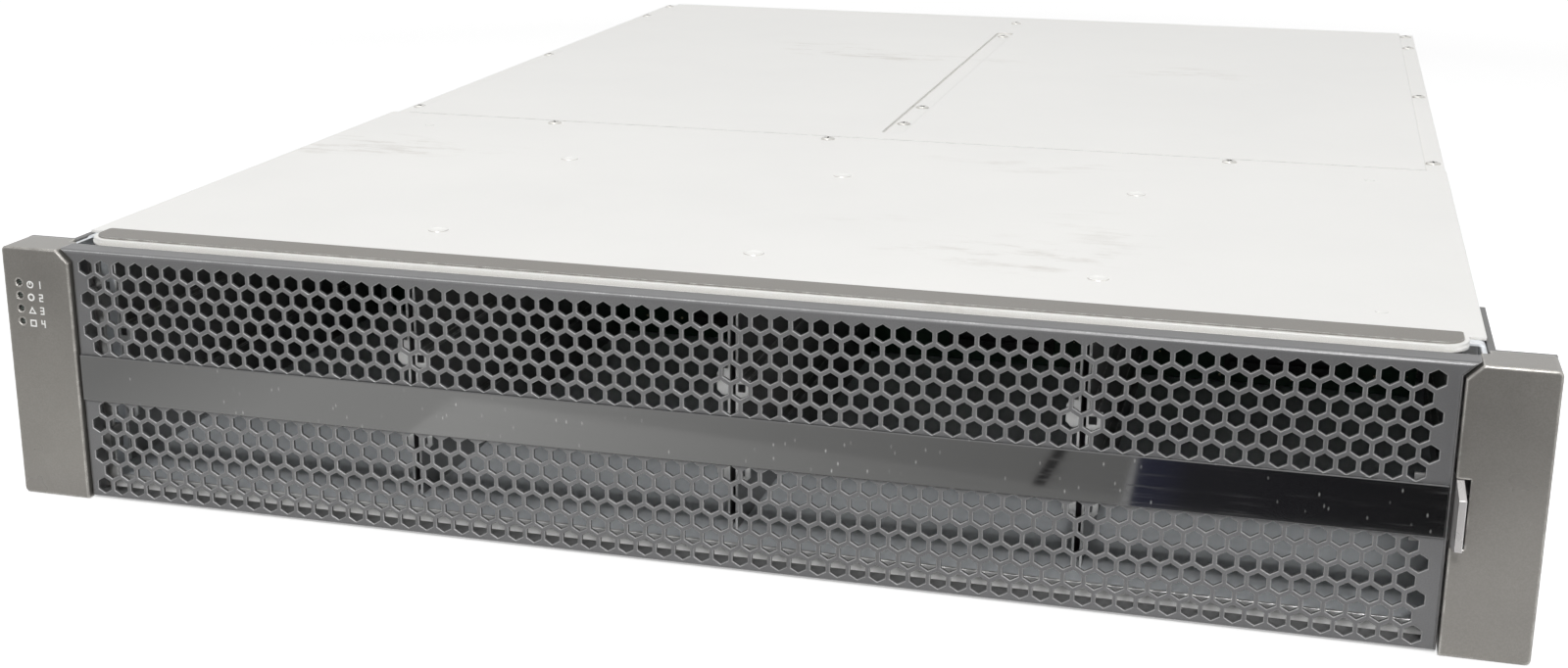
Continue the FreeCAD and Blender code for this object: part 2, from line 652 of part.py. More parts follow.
def bezel_hooks():
    """An angle on the bezel's left return with two hooks that reach behind the front frame's post."""
    outer = -BEZEL_HALF_WIDTH + BEZEL_SHEET
    inner_face = -FRAME_POST_INNER + SEAT_GAP + HOOK_SHEET
    plate_rear = BEZEL_RECESS + BEZEL_SIDE_RETURN
    root_y = plate_rear - HOOK_SHEET
    tip_back = TRAY_FRONT + HOOK_SLACK + HOOK_SHEET
    plate = block((outer, outer + HOOK_SHEET), (BEZEL_BACK, plate_rear),
                  (HOOK_HEIGHTS[0] - HOOK_TALL, HOOK_HEIGHTS[1] + HOOK_TALL))
    tip = inner_face - HOOK_SHEET - HOOK_REACH
    path = [(outer, root_y), (inner_face, root_y), (inner_face, tip_back), (tip, tip_back)]
    hooks = [bent_sheet("xy", path, HOOK_SHEET, z - HOOK_TALL / 2, z + HOOK_TALL / 2, SQUARE)
             for z in HOOK_HEIGHTS]
    return join(plate, *hooks)


def bezel_catch_plate():
    """The stiffening angle inside the bezel's right return, where the latch nose meets it."""
    inner = BEZEL_HALF_WIDTH - BEZEL_SHEET
    rear = BEZEL_RECESS + BEZEL_SIDE_RETURN
    path = [(inner - CATCH_WIDTH, BEZEL_BACK), (inner, BEZEL_BACK), (inner, rear)]
    return bent_sheet("xy", path, HOOK_SHEET, LATCH_LOW, LATCH_HIGH, SQUARE)


def ear_cover_shell():
    """The left cover as a hollow cap: chamfered inner top corner, round outer corners, open back."""
    def corners(inset):
        inner = -EAR_COVER_INNER - inset
        outer = -HALF_RACK + inset
        low = EAR_COVER_BOTTOM + inset
        high = EAR_COVER_TOP - inset
        cut = EAR_CHAMFER - inset * (2 - math.sqrt(2))
        return [(outer, low), (inner, low), (inner, high - cut), (inner - cut, high), (outer, high)]
    radii = [EAR_COVER_CORNER, 0, 0, 0, EAR_COVER_CORNER]
    shell = prism("xz", corners(0), 0, EAR_COVER_DEPTH, radii)
    front_edges = [e for e in shell.Edges if e.BoundBox.YMax < 0.001]
    shell = shell.makeChamfer(EAR_EDGE, front_edges)
    hollow = prism("xz", corners(EAR_COVER_WALL), EAR_COVER_WALL, EAR_COVER_DEPTH + 1)
    chassis_room = block((-HALF_CHASSIS - SEAT_GAP, -EAR_COVER_INNER + 1),
                         (EAR_COVER_SIDE_DEPTH, EAR_COVER_DEPTH + 1), (EAR_COVER_BOTTOM - 1, EAR_COVER_TOP + 1))
    shell = shell.cut([hollow, chassis_room])
    ribs = [block((-HALF_RACK + EAR_COVER_WALL, -HALF_CHASSIS - 1), (EAR_COVER_WALL, EAR_COVER_DEPTH),
                  (z, z + EAR_RIB_SHEET)) for z in EAR_RIB_HEIGHTS]
    return join(shell, *ribs)


def ear_cover_left():
    """Left cover, with four indicator holes and two posts for the indicator board."""
    holes = [prism("xz", polygon(-INDICATOR_X, z, LENS_R + LENS_GAP, SMALL_SIDES), -1, EAR_COVER_WALL + 1)
             for z in INDICATOR_HEIGHTS]
    low, high = board_heights()
    right = -INDICATOR_X + INDICATOR_BOARD_WIDTH / 2
    posts = [block((right - BOARD_POST, right), (EAR_COVER_WALL, INDICATOR_BOARD_FRONT), (z, z + BOARD_POST))
             for z in (low, high - BOARD_POST)]
    return join(ear_cover_shell(), *posts).cut(holes)


def ear_cover_right():
    """Right cover, with a slot in its front inner corner for the latch."""
    slot = block((EAR_COVER_INNER - 1, EAR_COVER_INNER + LATCH_SLOT_WIDTH), (-1, EAR_COVER_WALL + 0.01),
                 (LATCH_LOW - LATCH_LUG_GAP, LATCH_HIGH + LATCH_LUG_GAP))
    window = block((EAR_COVER_INNER - 1, EAR_COVER_INNER + EAR_COVER_WALL + 0.5), (0, EAR_COVER_SIDE_DEPTH + 1),
                   (LATCH_LOW - LATCH_LUG_GAP, LATCH_HIGH + LATCH_LUG_GAP))
    lug_room = block((LATCH_ROOM_X, LATCH_BASE_RIGHT + SEAT_GAP), (EAR_COVER_WALL, EAR_COVER_DEPTH + 1),
                     (LATCH_LOW - LATCH_ROOM_END, LATCH_HIGH + LATCH_ROOM_END))
    return mirrored(ear_cover_shell()).cut([slot, window, lug_room])


def board_heights():
    """Lower and upper edge of the indicator board."""
    return INDICATOR_HEIGHTS[-1] - INDICATOR_BOARD_END, INDICATOR_HEIGHTS[0] + INDICATOR_BOARD_END


def indicator_lenses():
    """Four light pipes, from just inside their holes to the indicator board."""
    rear = INDICATOR_BOARD_FRONT
    return Part.Compound([prism("xz", polygon(-INDICATOR_X, z, LENS_R, SMALL_SIDES), LENS_RECESS, rear)
                          for z in INDICATOR_HEIGHTS])


def indicator_board():
    """The small board behind the light pipes."""
    low, high = board_heights()
    half = INDICATOR_BOARD_WIDTH / 2
    return block((-INDICATOR_X - half, -INDICATOR_X + half),
                 (INDICATOR_BOARD_FRONT, INDICATOR_BOARD_FRONT + BOARD_SHEET), (low, high))


def ear_bracket(side):
    """The rack bracket: a slotted flange behind the cover and a leg along the chassis side."""
    front = EAR_COVER_DEPTH
    outer = HALF_RACK - SEAT_GAP
    path = [(HALF_CHASSIS, front + BRACKET_LEG), (HALF_CHASSIS, front), (outer, front)]
    heights = (EAR_COVER_BOTTOM + SEAT_GAP, EAR_COVER_TOP - SEAT_GAP)
    bracket = bent_sheet("xy", path, BRACKET_SHEET, *heights, SQUARE)
    slots = []
    for rise in (-1, 1):
        z = RACK_HOLES_MIDDLE + rise * RACK_HOLE_RISE / 2
        corners = rectangle(RACK_HOLE_SPACING / 2, z, RACK_SLOT_LENGTH, RACK_SLOT_WIDTH)
        slots.append(prism("xz", corners, front - 1, front + BRACKET_SHEET + 1, RACK_SLOT_WIDTH / 2))
    bracket = bracket.cut(slots)
    return bracket if side > 0 else mirrored(bracket)


def latch_bracket():
    """The folded bracket on the right rack bracket: a foot, a base, and two lugs that hold the pin."""
    back = TRAY_FRONT
    front = back - LATCH_LUG_SHEET
    left = LATCH_ROOM_X + SEAT_GAP
    low = LATCH_LOW - LATCH_LUG_GAP - LATCH_LUG_SHEET
    high = LATCH_HIGH + LATCH_LUG_GAP + LATCH_LUG_SHEET
    base = block((left, LATCH_BASE_RIGHT), (front, back), (low, high))
    foot = block((HALF_CHASSIS + BRACKET_SHEET, LATCH_BASE_RIGHT), (front, EAR_COVER_DEPTH), (low, high))
    lugs = []
    for z in (low, high - LATCH_LUG_SHEET):
        plan = rectangle(LATCH_PIVOT_X, (LATCH_PIVOT_Y - LATCH_HUB_R + front) / 2,
                         2 * (LATCH_PIVOT_X - left), front - LATCH_PIVOT_Y + LATCH_HUB_R)
        lugs.append(prism("xy", plan, z, z + LATCH_LUG_SHEET))
    pin = rod(LATCH_PIN_R, (LATCH_PIVOT_X, LATCH_PIVOT_Y, low + LATCH_LUG_SHEET), (0, 0, 1),
              high - low - 2 * LATCH_LUG_SHEET)
    return join(base, foot, *lugs, pin)


def latch_lever():
    """The bright lever: a hub on the pin, a neck through the ear cover and a bevelled finger tab."""
    right = LATCH_NECK_X + LATCH_SHEET
    tip_right = LATCH_TIP_X + LATCH_SHEET
    nose_x = BEZEL_HALF_WIDTH + LATCH_NOSE
    nose_y = LATCH_PIVOT_Y - LATCH_NOSE_BEFORE_PIVOT
    plan = [(LATCH_TIP_X, LATCH_TIP_Y), (tip_right, LATCH_TIP_Y), (right, 0), (right, nose_y),
            (LATCH_PIVOT_X + LATCH_WEB, LATCH_PIVOT_Y - LATCH_WEB),
            (LATCH_PIVOT_X - LATCH_WEB, LATCH_PIVOT_Y + LATCH_WEB),
            (LATCH_NECK_X, nose_y + LATCH_NOSE_HALF), (nose_x, nose_y), (LATCH_NECK_X, nose_y - LATCH_NOSE_HALF),
            (LATCH_NECK_X, 0)]
    blade = prism("xy", plan, LATCH_LOW, LATCH_HIGH)
    hub = rod(LATCH_HUB_R, (LATCH_PIVOT_X, LATCH_PIVOT_Y, LATCH_LOW), (0, 0, 1), LATCH_TALL)
    rear = LATCH_PIVOT_Y + LATCH_HUB_R + 1
    side_view = prism("yz", [(LATCH_TIP_Y, LATCH_LOW + LATCH_TIP_SLOPE_LOW), (0, LATCH_LOW), (rear, LATCH_LOW),
                             (rear, LATCH_HIGH), (0, LATCH_HIGH), (LATCH_TIP_Y, LATCH_HIGH - LATCH_TIP_SLOPE_HIGH)],
                      BEZEL_HALF_WIDTH - 1, LATCH_PIVOT_X + LATCH_HUB_R + 1)
    bore = rod(LATCH_PIN_R + RUN_GAP, (LATCH_PIVOT_X, LATCH_PIVOT_Y, LATCH_LOW - 1), (0, 0, 1), LATCH_TALL + 2)
    return join(blade, hub).common(side_view).cut(bore)


def latch_spring():
    """The leaf spring: a foot on the bracket and a blade that stands off the lever by its travel."""
    foot_y = TRAY_FRONT - LATCH_LUG_SHEET
    foot_x = LATCH_BASE_RIGHT - SPRING_FOOT
    tip_x = LATCH_NECK_X + LATCH_SHEET + SPRING_CLEAR
    tip_y = LATCH_PIVOT_Y - LATCH_NOSE_BEFORE_PIVOT - LATCH_NOSE_HALF
    path = [(LATCH_BASE_RIGHT, foot_y), (foot_x, foot_y), (tip_x, tip_y)]
    low = BAND_MIDDLE - SPRING_TALL / 2
    return bent_sheet("xy", path, SPRING_SHEET, low, low + SPRING_TALL, SQUARE)


def guide_rails(face_x, side, front):
    """Rails and their front tabs on one face: a pill on the left-hand side, a clip on the other."""
    pieces = []
    for z in GUIDE_HEIGHTS:
        rail = sorted((face_x, face_x + side * GUIDE_REACH))
        pieces.append(block(rail, (front, DIVIDER_REAR - GUIDE_END), (z - GUIDE_SHEET / 2, z + GUIDE_SHEET / 2)))
        if side < 0:
            top = TAB_TALL / 2
            tab = [(0, -top), (-TAB_REACH + TAB_CUT, -top), (-TAB_REACH, -top + TAB_CUT),
                   (-TAB_REACH, top - TAB_CUT), (-TAB_REACH + TAB_CUT, top), (0, top)]
        else:
            low = -CLIP_DROP
            inner = CLIP_REACH - CLIP_WALL
            tab = [(0, low), (CLIP_REACH - TAB_CUT, low), (CLIP_REACH, low + TAB_CUT),
                   (CLIP_REACH, low + CLIP_TALL), (inner, low + CLIP_TALL), (inner, low + CLIP_WALL),
                   (0, low + CLIP_WALL)]
        corners = [(face_x + u, z + v) for u, v in tab]
        pieces.append(prism("xz", corners, front, front + DIVIDER_SHEET))
    return pieces


def bay_divider(x):
    """A wall between two columns of bays: one sheet folded back on itself, open at the front."""
    half = DIVIDER_WIDTH / 2
    path = [(x + half, DIVIDER_FRONT), (x + half, DIVIDER_REAR),
            (x - half, DIVIDER_REAR), (x - half, DIVIDER_FRONT)]
    wall = bent_sheet("xy", path, DIVIDER_SHEET, SHEET, COVER_UNDER, SQUARE)
    return join(wall, *guide_rails(x - half, -1, DIVIDER_FRONT), *guide_rails(x + half, 1, DIVIDER_FRONT))


def side_guides():
    """The liners on the chassis sides, with the same rails as the dividers."""
    reach = DIVIDER_SHEET
    depth = (DIVIDER_FRONT, DIVIDER_REAR)
    heights = (SHEET + BEND, COVER_UNDER - SHEET - BEND)
    left = join(block((-INNER_HALF, -INNER_HALF + reach), depth, heights),
                *guide_rails(-INNER_HALF + reach, 1, DIVIDER_FRONT))
    right = join(block((INNER_HALF - reach, INNER_HALF), depth, heights),
                 *guide_rails(INNER_HALF - reach, -1, DIVIDER_FRONT))
    return Part.Compound([left, right])


def bay_centres():
    """The middle of every bay, as X and Z."""
    return [(x, SHEET + BAY_PITCH_Z * (row + 0.5)) for x in COLUMNS_X for row in range(BAY_ROWS)]


def midplane_board():
    """The board behind the bays, with an air window over every drive connector."""
    half = INNER_HALF - MIDPLANE_MARGIN
    windows = [outline("xz", rectangle(x, z + AIR_WINDOW_RISE, AIR_WINDOW_WIDTH, AIR_WINDOW_TALL), MIDPLANE_FRONT)
               for x, z in bay_centres()]
    low = SHEET + SEAT_GAP
    high = COVER_UNDER - SHEET - SEAT_GAP
    return prism("xz", [(-half, low), (half, low), (half, high), (-half, high)], MIDPLANE_FRONT, MIDPLANE_BACK,
                 0, windows)


def drive_connectors():
    """One connector for each bay, with a tongue across its mouth."""
    pieces = []
    for x, z in bay_centres():
        middle = z - DRIVE_CONNECTOR_DROP
        front = MIDPLANE_FRONT - DRIVE_CONNECTOR_DEPTH
        base = prism("xz", rectangle(x, middle, DRIVE_CONNECTOR_WIDTH, DRIVE_CONNECTOR_TALL),
                     MIDPLANE_FRONT - DRIVE_CONNECTOR_BASE, MIDPLANE_FRONT)
        tongue_width = DRIVE_CONNECTOR_WIDTH - 2 * DRIVE_TONGUE_MARGIN
        tongue = prism("xz", rectangle(x, middle, tongue_width, DRIVE_CONNECTOR_TALL / 3),
                       front, MIDPLANE_FRONT - DRIVE_CONNECTOR_BASE)
        pieces.append(join(base, tongue))
    return Part.Compound(pieces)


def module_middle(span):
    """The middle height of a module."""
    return (span[0] + span[1]) / 2


def module_connectors():
    """The four sockets on the back of the midplane board that the rear modules plug into."""
    pieces = []
    for left in MODULE_LEFT.values():
        for span in (LOWER_MODULE, UPPER_MODULE):
            plan = rectangle(left + MODULE_CONNECTOR_PLACE, module_middle(span),
                             MODULE_CONNECTOR_WIDTH, MODULE_CONNECTOR_TALL)
            pieces.append(prism("xz", plan, MIDPLANE_BACK, MIDPLANE_BACK + MODULE_CONNECTOR_DEPTH))
    return Part.Compound(pieces)


def midplane_frame():
    """The steel frame behind the board: a floor flange, large windows and a top flange under the seam."""
    front = MIDPLANE_BACK
    rear = COVER_SEAM + SEAM_FLANGE_REACH
    half = HALF_CHASSIS - SIDE_RECESS_WIDTH - SHEET - SEAT_GAP
    path = [(rear, COVER_UNDER), (front, COVER_UNDER), (front, SHEET), (front + SEAM_FLANGE_REACH, SHEET)]
    frame = bent_sheet("yz", path, SHEET, -half, half, SQUARE)
    low = SHEET + FRAME_WINDOW_MARGIN
    high = COVER_UNDER - FRAME_WINDOW_MARGIN
    windows = [block((x - FRAME_WINDOW_WIDTH / 2, x + FRAME_WINDOW_WIDTH / 2), (front - 1, front + SHEET + 1),
                     (low, high)) for x in COLUMNS_X]
    return frame.cut(windows)


def centre_wall():
    """The wall between the left and right modules, with a top flange under the pressed channel."""
    half = SHEET / 2
    top = REAR_FLANGE_TOP
    wall = block((-half, half), (MODULE_FRONT, WALL_REAR), (SHEET, top - SHEET))
    flange = block((-half, WALL_FLANGE), (MODULE_FRONT + SHEET, WALL_REAR), (top - SHEET, top))
    return join(wall, flange)


def module_shelves():
    """The two shelves between upper and lower modules, folded down at both edges."""
    shelves = []
    for right in (-SHEET / 2, INNER_HALF):
        left = right - INNER_HALF + SHEET / 2
        path = [(right, SHELF_Z - SHELF_FLANGE), (right, SHELF_Z + SHEET), (left, SHELF_Z + SHEET),
                (left, SHELF_Z - SHELF_FLANGE)]
        shelves.append(bent_sheet("xz", path, SHEET, MODULE_FRONT, WALL_REAR, SQUARE))
    return Part.Compound(shelves)


def module_case(left, span):
    """The case of a rear module: a folded box, open at the rear, with an opening for its plug."""
    low, high = span
    outer = block((left, left + MODULE_WIDTH), (MODULE_FRONT, FACE_BACK), (low, high))
    wall = MODULE_SHEET
    hollow = block((left + wall, left + MODULE_WIDTH - wall), (MODULE_FRONT + wall, FACE_BACK + 1),
                   (low + wall, high - wall))
    plug = left + MODULE_CONNECTOR_PLACE
    half = MODULE_CONNECTOR_WIDTH / 2 + 1
    board = low + wall + BOARD_RISE
    mouth = block((plug - half, plug + half), (MODULE_FRONT - 1, MODULE_FRONT + wall + 1),
                  (board - 0.5, module_middle(span) + MODULE_CONNECTOR_TALL / 2 + 1))
    case = outer.cut([hollow, mouth])
    feet = []
    for x in (left + BOARD_MARGIN + STANDOFF, left + MODULE_WIDTH - BOARD_MARGIN - STANDOFF):
        for y in (MODULE_FRONT + STANDOFF_FRONT, FACE_BACK - STANDOFF_REAR):
            feet.append(block((x - STANDOFF / 2, x + STANDOFF / 2), (y, y + STANDOFF), (low + wall, board)))
    return join(case, *feet)


def module_board(left, span, rear, parts):
    """A module's board with its plug and a row of parts, spread evenly across it."""
    low = span[0] + MODULE_SHEET + BOARD_RISE
    top = low + BOARD_SHEET
    board_left = left + BOARD_MARGIN
    board_width = MODULE_WIDTH - 2 * BOARD_MARGIN
    sheet = block((board_left, board_left + board_width), (MODULE_FRONT + BOARD_SETBACK, rear), (low, top))
    plug = left + MODULE_CONNECTOR_PLACE
    half = MODULE_CONNECTOR_WIDTH / 2
    body = block((plug - half, plug + half), (PLUG_FRONT, MODULE_FRONT + PLUG_DEPTH),
                 (low, module_middle(span) + MODULE_CONNECTOR_TALL / 2))
    gap = (board_width - sum(width for width, length, height in parts)) / (len(parts) + 1)
    front = MODULE_FRONT + PARTS_SETBACK
    x = board_left + gap
    blocks = []
    for width, length, height in parts:
        blocks.append(block((x, x + width), (front, front + length), (top, top + height)))
        x += width + gap
    return join(sheet, body, *blocks)


def guard_wires(x, z):
    """A fan guard of upright slots, each as long as the round opening behind it allows."""
    wires = []
    guard_r = FAN_BORE_R - GUARD_MARGIN
    per_side = int((guard_r - GUARD_SLOT_WIDTH / 2 - GUARD_MARGIN) / GUARD_PITCH)
    for i in range(-per_side, per_side + 1):
        offset = i * GUARD_PITCH
        far_side = abs(offset) + GUARD_SLOT_WIDTH / 2
        tall = 2 * math.sqrt(guard_r ** 2 - far_side ** 2)
        wires.append(outline("xz", rectangle(x + offset, z, GUARD_SLOT_WIDTH, tall), FACE_BACK))
    return wires


def lever_lugs(x, z, vertical):
    """Two lugs on a face plate with the pin between them. vertical says which way the pin runs."""
    tall = LEVER_TALL if vertical else PSU_LATCH_WIDTH
    reach = PIVOT_Y + LEVER_HUB_R - SEAT_GAP
    half = LEVER_HUB_R - SEAT_GAP
    lugs = []
    for side in (-1, 1):
        near = side * (tall / 2 + SEAT_GAP)
        far = side * (tall / 2 + SEAT_GAP + LUG_SHEET)
        span = sorted((near, far))
        if vertical:
            lugs.append(block((x - half, x + half), (FACE_BACK + FACE_SHEET, reach), (z + span[0], z + span[1])))
        else:
            lugs.append(block((x + span[0], x + span[1]), (FACE_BACK + FACE_SHEET, reach), (z - half, z + half)))
    length = tall + 2 * SEAT_GAP
    if vertical:
        pin = rod(LEVER_PIN_R, (x, PIVOT_Y, z - length / 2), (0, 0, 1), length)
    else:
        pin = rod(LEVER_PIN_R, (x - length / 2, PIVOT_Y, z), (1, 0, 0), length)
    return [*lugs, pin]


def psu_face(left, span):
    """A power supply's face plate: fan guards, one cut-out for inlet and switch, and latch lugs."""
    z = module_middle(span)
    holes = guard_wires(left + FAN_PLACE, z)
    x0, x1 = left + HOUSING_LEFT, left + HOUSING_RIGHT
    height = INLET_TALL + 2 * INLET_WALL + 2 * SEAT_GAP
    holes.append(outline("xz", rectangle((x0 + x1) / 2, z, x1 - x0 + 2 * SEAT_GAP, height), FACE_BACK))
    corners = [(left, span[0]), (left + MODULE_WIDTH, span[0]), (left + MODULE_WIDTH, span[1]), (left, span[1])]
    plate = prism("xz", corners, FACE_BACK, CHASSIS_REAR, 0, holes)
    return join(plate, *lever_lugs(left + LEVER_PLACE, psu_pivot_z(span), False))


def psu_pivot_z(span):
    """The height of a power supply latch's pin."""
    return module_middle(span) + PSU_LATCH_ARM / 2


def psu_inlet(left, span):
    """Housing with a three-blade inlet and the rocker's well, on one flange."""
    z = module_middle(span)
    x0, x1 = left + HOUSING_LEFT, left + HOUSING_RIGHT
    deep = CHASSIS_REAR - INLET_DEPTH
    tall = INLET_TALL / 2 + INLET_WALL
    body = block((x0, x1), (deep, CHASSIS_REAR), (z - tall, z + tall))
    lip = INLET_LIP
    mouth = CHASSIS_REAR + INLET_FLANGE
    flange = prism("xz", rectangle((x0 + x1) / 2, z, x1 - x0 + 2 * lip, 2 * (tall + lip)), CHASSIS_REAR, mouth,
                   INLET_LIP_CORNER)
    x = left + INLET_PLACE
    socket = prism("xz", rectangle(x, z, INLET_WIDTH, INLET_TALL), deep + INLET_WALL, mouth + 1)
    for side in (-1, 1):
        corner = [(x + side * INLET_WIDTH / 2, z + INLET_TALL / 2),
                  (x + side * (INLET_WIDTH / 2 - INLET_CORNER), z + INLET_TALL / 2),
                  (x + side * INLET_WIDTH / 2, z + INLET_TALL / 2 - INLET_CORNER)]
        socket = socket.cut(prism("xz", corner, deep, mouth + 2))
    blades = []
    for dx, dz in ((-BLADE_SPREAD, -BLADE_DROP), (0, BLADE_RISE), (BLADE_SPREAD, -BLADE_DROP)):
        blades.append(prism("xz", rectangle(x + dx, z + dz, BLADE_SHEET, BLADE_WIDE),
                            deep + INLET_WALL, deep + INLET_WALL + BLADE_LONG))
    well_x = left + SWITCH_PLACE
    well_tall = SWITCH_TALL - 2 * SWITCH_WELL_MARGIN
    well = prism("xz", rectangle(well_x, z, SWITCH_WIDTH, well_tall), deep + INLET_WALL, mouth + 1)
    return join(join(body, flange).cut([socket, well]), *blades)


def psu_switch(left, span):
    """The rocker in its well, shown with its upper half pressed in."""
    z = module_middle(span)
    x = left + SWITCH_PLACE
    axis_y = CHASSIS_REAR - SWITCH_AXIS_DEPTH
    front = CHASSIS_REAR + INLET_FLANGE + SWITCH_PROUD
    half = SWITCH_TALL / 2 - SWITCH_END_GAP
    root_y = axis_y - SWITCH_ROOT
    root_half = half - SWITCH_TAPER
    edge_y = front - SWITCH_EDGE
    side_view = [(root_y, z - root_half), (edge_y, z - half), (edge_y - SWITCH_DIP, z), (edge_y, z + half),
                 (root_y, z + root_half)]
    rocker = prism("yz", side_view, x - SWITCH_WIDTH / 2 + SEAT_GAP, x + SWITCH_WIDTH / 2 - SEAT_GAP)
    rocker.rotate(Vector(x, axis_y, z), Vector(1, 0, 0), SWITCH_TILT)
    return rocker


def psu_handle(left, span):
    """The pull handle: a flat bar bent into a loop with its feet on the face plate."""
    z = module_middle(span)
    x0 = left + HANDLE_PLACE - HANDLE_SPAN / 2
    x1 = x0 + HANDLE_SPAN
    turn = REAR_REACH - HANDLE_CORNER
    path = [(x1, CHASSIS_REAR), (x1, turn), (x1 - HANDLE_CORNER, REAR_REACH), (x0 + HANDLE_CORNER, REAR_REACH),
            (x0, turn), (x0, CHASSIS_REAR)]
    return bent_sheet("xy", path, HANDLE_SHEET, z - HANDLE_TALL / 2, z + HANDLE_TALL / 2, SQUARE)


def fan_frame(left, span):
    """The square fan housing, with a motor plate on struts in its round opening."""
    z = module_middle(span)
    x = left + FAN_PLACE
    rear = FACE_BACK - SEAT_GAP
    front = rear - FAN_DEPTH
    bore = Part.Wire(Part.makeCircle(FAN_BORE_R, Vector(x, front, z), Vector(0, 1, 0)))
    ring = prism("xz", rectangle(x, z, FAN_SIZE, FAN_SIZE), front, rear, 0, [bore])
    plate = prism("xz", polygon(x, z, FAN_HUB_R, FAN_HUB_SIDES), front, front + FAN_PLATE)
    struts = []
    for k in range(FAN_STRUTS):
        strut = block((x + FAN_HUB_R - 1, x + FAN_BORE_R + FAN_RING / 2), (front, front + FAN_PLATE),
                      (z - FAN_STRUT_WIDTH / 2, z + FAN_STRUT_WIDTH / 2))
        strut.rotate(Vector(x, front, z), Vector(0, 1, 0), 90 + 360 / FAN_STRUTS * k)
        struts.append(strut)
    return join(ring, plate, *struts)


def fan_rotor(left, span):
    """The fan's rotor: a hub in front of the motor plate, and pitched blades."""
    z = module_middle(span)
    x = left + FAN_PLACE
    front = FACE_BACK - FAN_DEPTH + FAN_PLATE
    deep = FAN_DEPTH - FAN_ROTOR_SHORT
    hub = prism("xz", polygon(x, z, FAN_HUB_R, FAN_HUB_SIDES), front, front + deep)
    lean = math.radians(FAN_BLADE_PITCH)
    half_height = FAN_BLADE_CHORD / 2 * math.cos(lean) + FAN_BLADE_SHEET / 2
    reach = math.sqrt((FAN_BORE_R - FAN_TIP_GAP) ** 2 - half_height ** 2)
    root = FAN_HUB_R - FAN_BLADE_ROOT
    blades = []
    for k in range(FAN_BLADES):
        blade = Part.makeBox(reach - root, FAN_BLADE_SHEET, FAN_BLADE_CHORD,
                             Vector(root, -FAN_BLADE_SHEET / 2, -FAN_BLADE_CHORD / 2))
        blade.rotate(Vector(0, 0, 0), Vector(1, 0, 0), FAN_BLADE_PITCH)
        blade.rotate(Vector(0, 0, 0), Vector(0, 1, 0), 360 / FAN_BLADES * k)
        blade.translate(Vector(x, front + deep / 2, z))
        blades.append(blade)
    return join(hub, *blades)


def psu_latch(left, span):
    """The release latch: a hub on its pin and a tab that hangs down the face."""
    x = left + LEVER_PLACE
    z = psu_pivot_z(span)
    half = PSU_LATCH_WIDTH / 2
    hub = rod(LEVER_HUB_R, (x - half, PIVOT_Y, z), (1, 0, 0), PSU_LATCH_WIDTH)
    side_view = [(PIVOT_Y - LEVER_SHEET / 2, z), (PIVOT_Y - LEVER_SHEET / 2, z - PSU_LATCH_ARM),
                 (PIVOT_Y + LEVER_SHEET * 1.6, z - PSU_LATCH_ARM),
                 (PIVOT_Y + LEVER_SHEET / 2, z - PSU_LATCH_ARM + PSU_LATCH_LIP),
                 (PIVOT_Y + LEVER_SHEET / 2, z)]
    arm = prism("yz", side_view, x - half, x + half)
    bore = rod(LEVER_PIN_R + RUN_GAP, (x - half - 1, PIVOT_Y, z), (1, 0, 0), PSU_LATCH_WIDTH + 2)
    return join(hub, arm).cut(bore)


def io_face(left, span):
    """An interface module's face plate: vent slots, port openings and lever lugs."""
    z = module_middle(span)
    vent_count = int((PORT_PLACES[0] - PORT_WIDTH / 2 - VENT_FIRST) / VENT_PITCH)
    places = [(left + VENT_FIRST + i * VENT_PITCH, z, VENT_WIDTH, VENT_TALL) for i in range(vent_count)]
    wall = 2 * PORT_WALL + 2 * SEAT_GAP
    places += [(left + x, z, PORT_WIDTH + wall, PORT_TALL + wall) for x in PORT_PLACES]
    places.append((left + NET_PLACE, z, NET_WIDTH + wall, NET_TALL + wall))
    holes = [outline("xz", rectangle(*place), FACE_BACK) for place in places]
    corners = [(left, span[0]), (left + MODULE_WIDTH, span[0]), (left + MODULE_WIDTH, span[1]), (left, span[1])]
    plate = prism("xz", corners, FACE_BACK, CHASSIS_REAR, 0, holes)
    return join(plate, *lever_lugs(left + LEVER_PLACE, z, True))


def io_ports(left, span):
    """Two data port cages and one network socket, as thin metal tubes with a back wall."""
    z = module_middle(span)
    cages = []
    for x, width, tall in [(p, PORT_WIDTH, PORT_TALL) for p in PORT_PLACES] + [(NET_PLACE, NET_WIDTH, NET_TALL)]:
        rear = CHASSIS_REAR + PORT_PROUD
        front = rear - PORT_DEPTH
        shell = prism("xz", rectangle(left + x, z, width + 2 * PORT_WALL, tall + 2 * PORT_WALL), front, rear)
        hollow = prism("xz", rectangle(left + x, z, width, tall), front + PORT_WALL, rear + 1)
        cages.append(shell.cut(hollow))
    return Part.Compound(cages)


def io_lever(left, span):
    """The ejector lever: a hub on its pin and an arm along the face, curled out at its end."""
    z = module_middle(span)
    x = left + LEVER_PLACE
    near = PIVOT_Y - LEVER_SHEET / 2
    half = LEVER_TALL / 2
    path = [(x, near), (x - LEVER_ARM, near), (x - LEVER_ARM - LEVER_CURL / 2, near + LEVER_CURL)]
    arm = bent_sheet("xy", path[::-1], LEVER_SHEET, z - half, z + half, SQUARE)
    hub = rod(LEVER_HUB_R, (x, PIVOT_Y, z - half), (0, 0, 1), LEVER_TALL)
    bore = rod(LEVER_PIN_R + RUN_GAP, (x, PIVOT_Y, z - half - 1), (0, 0, 1), LEVER_TALL + 2)
    return join(arm, hub).cut(bore)


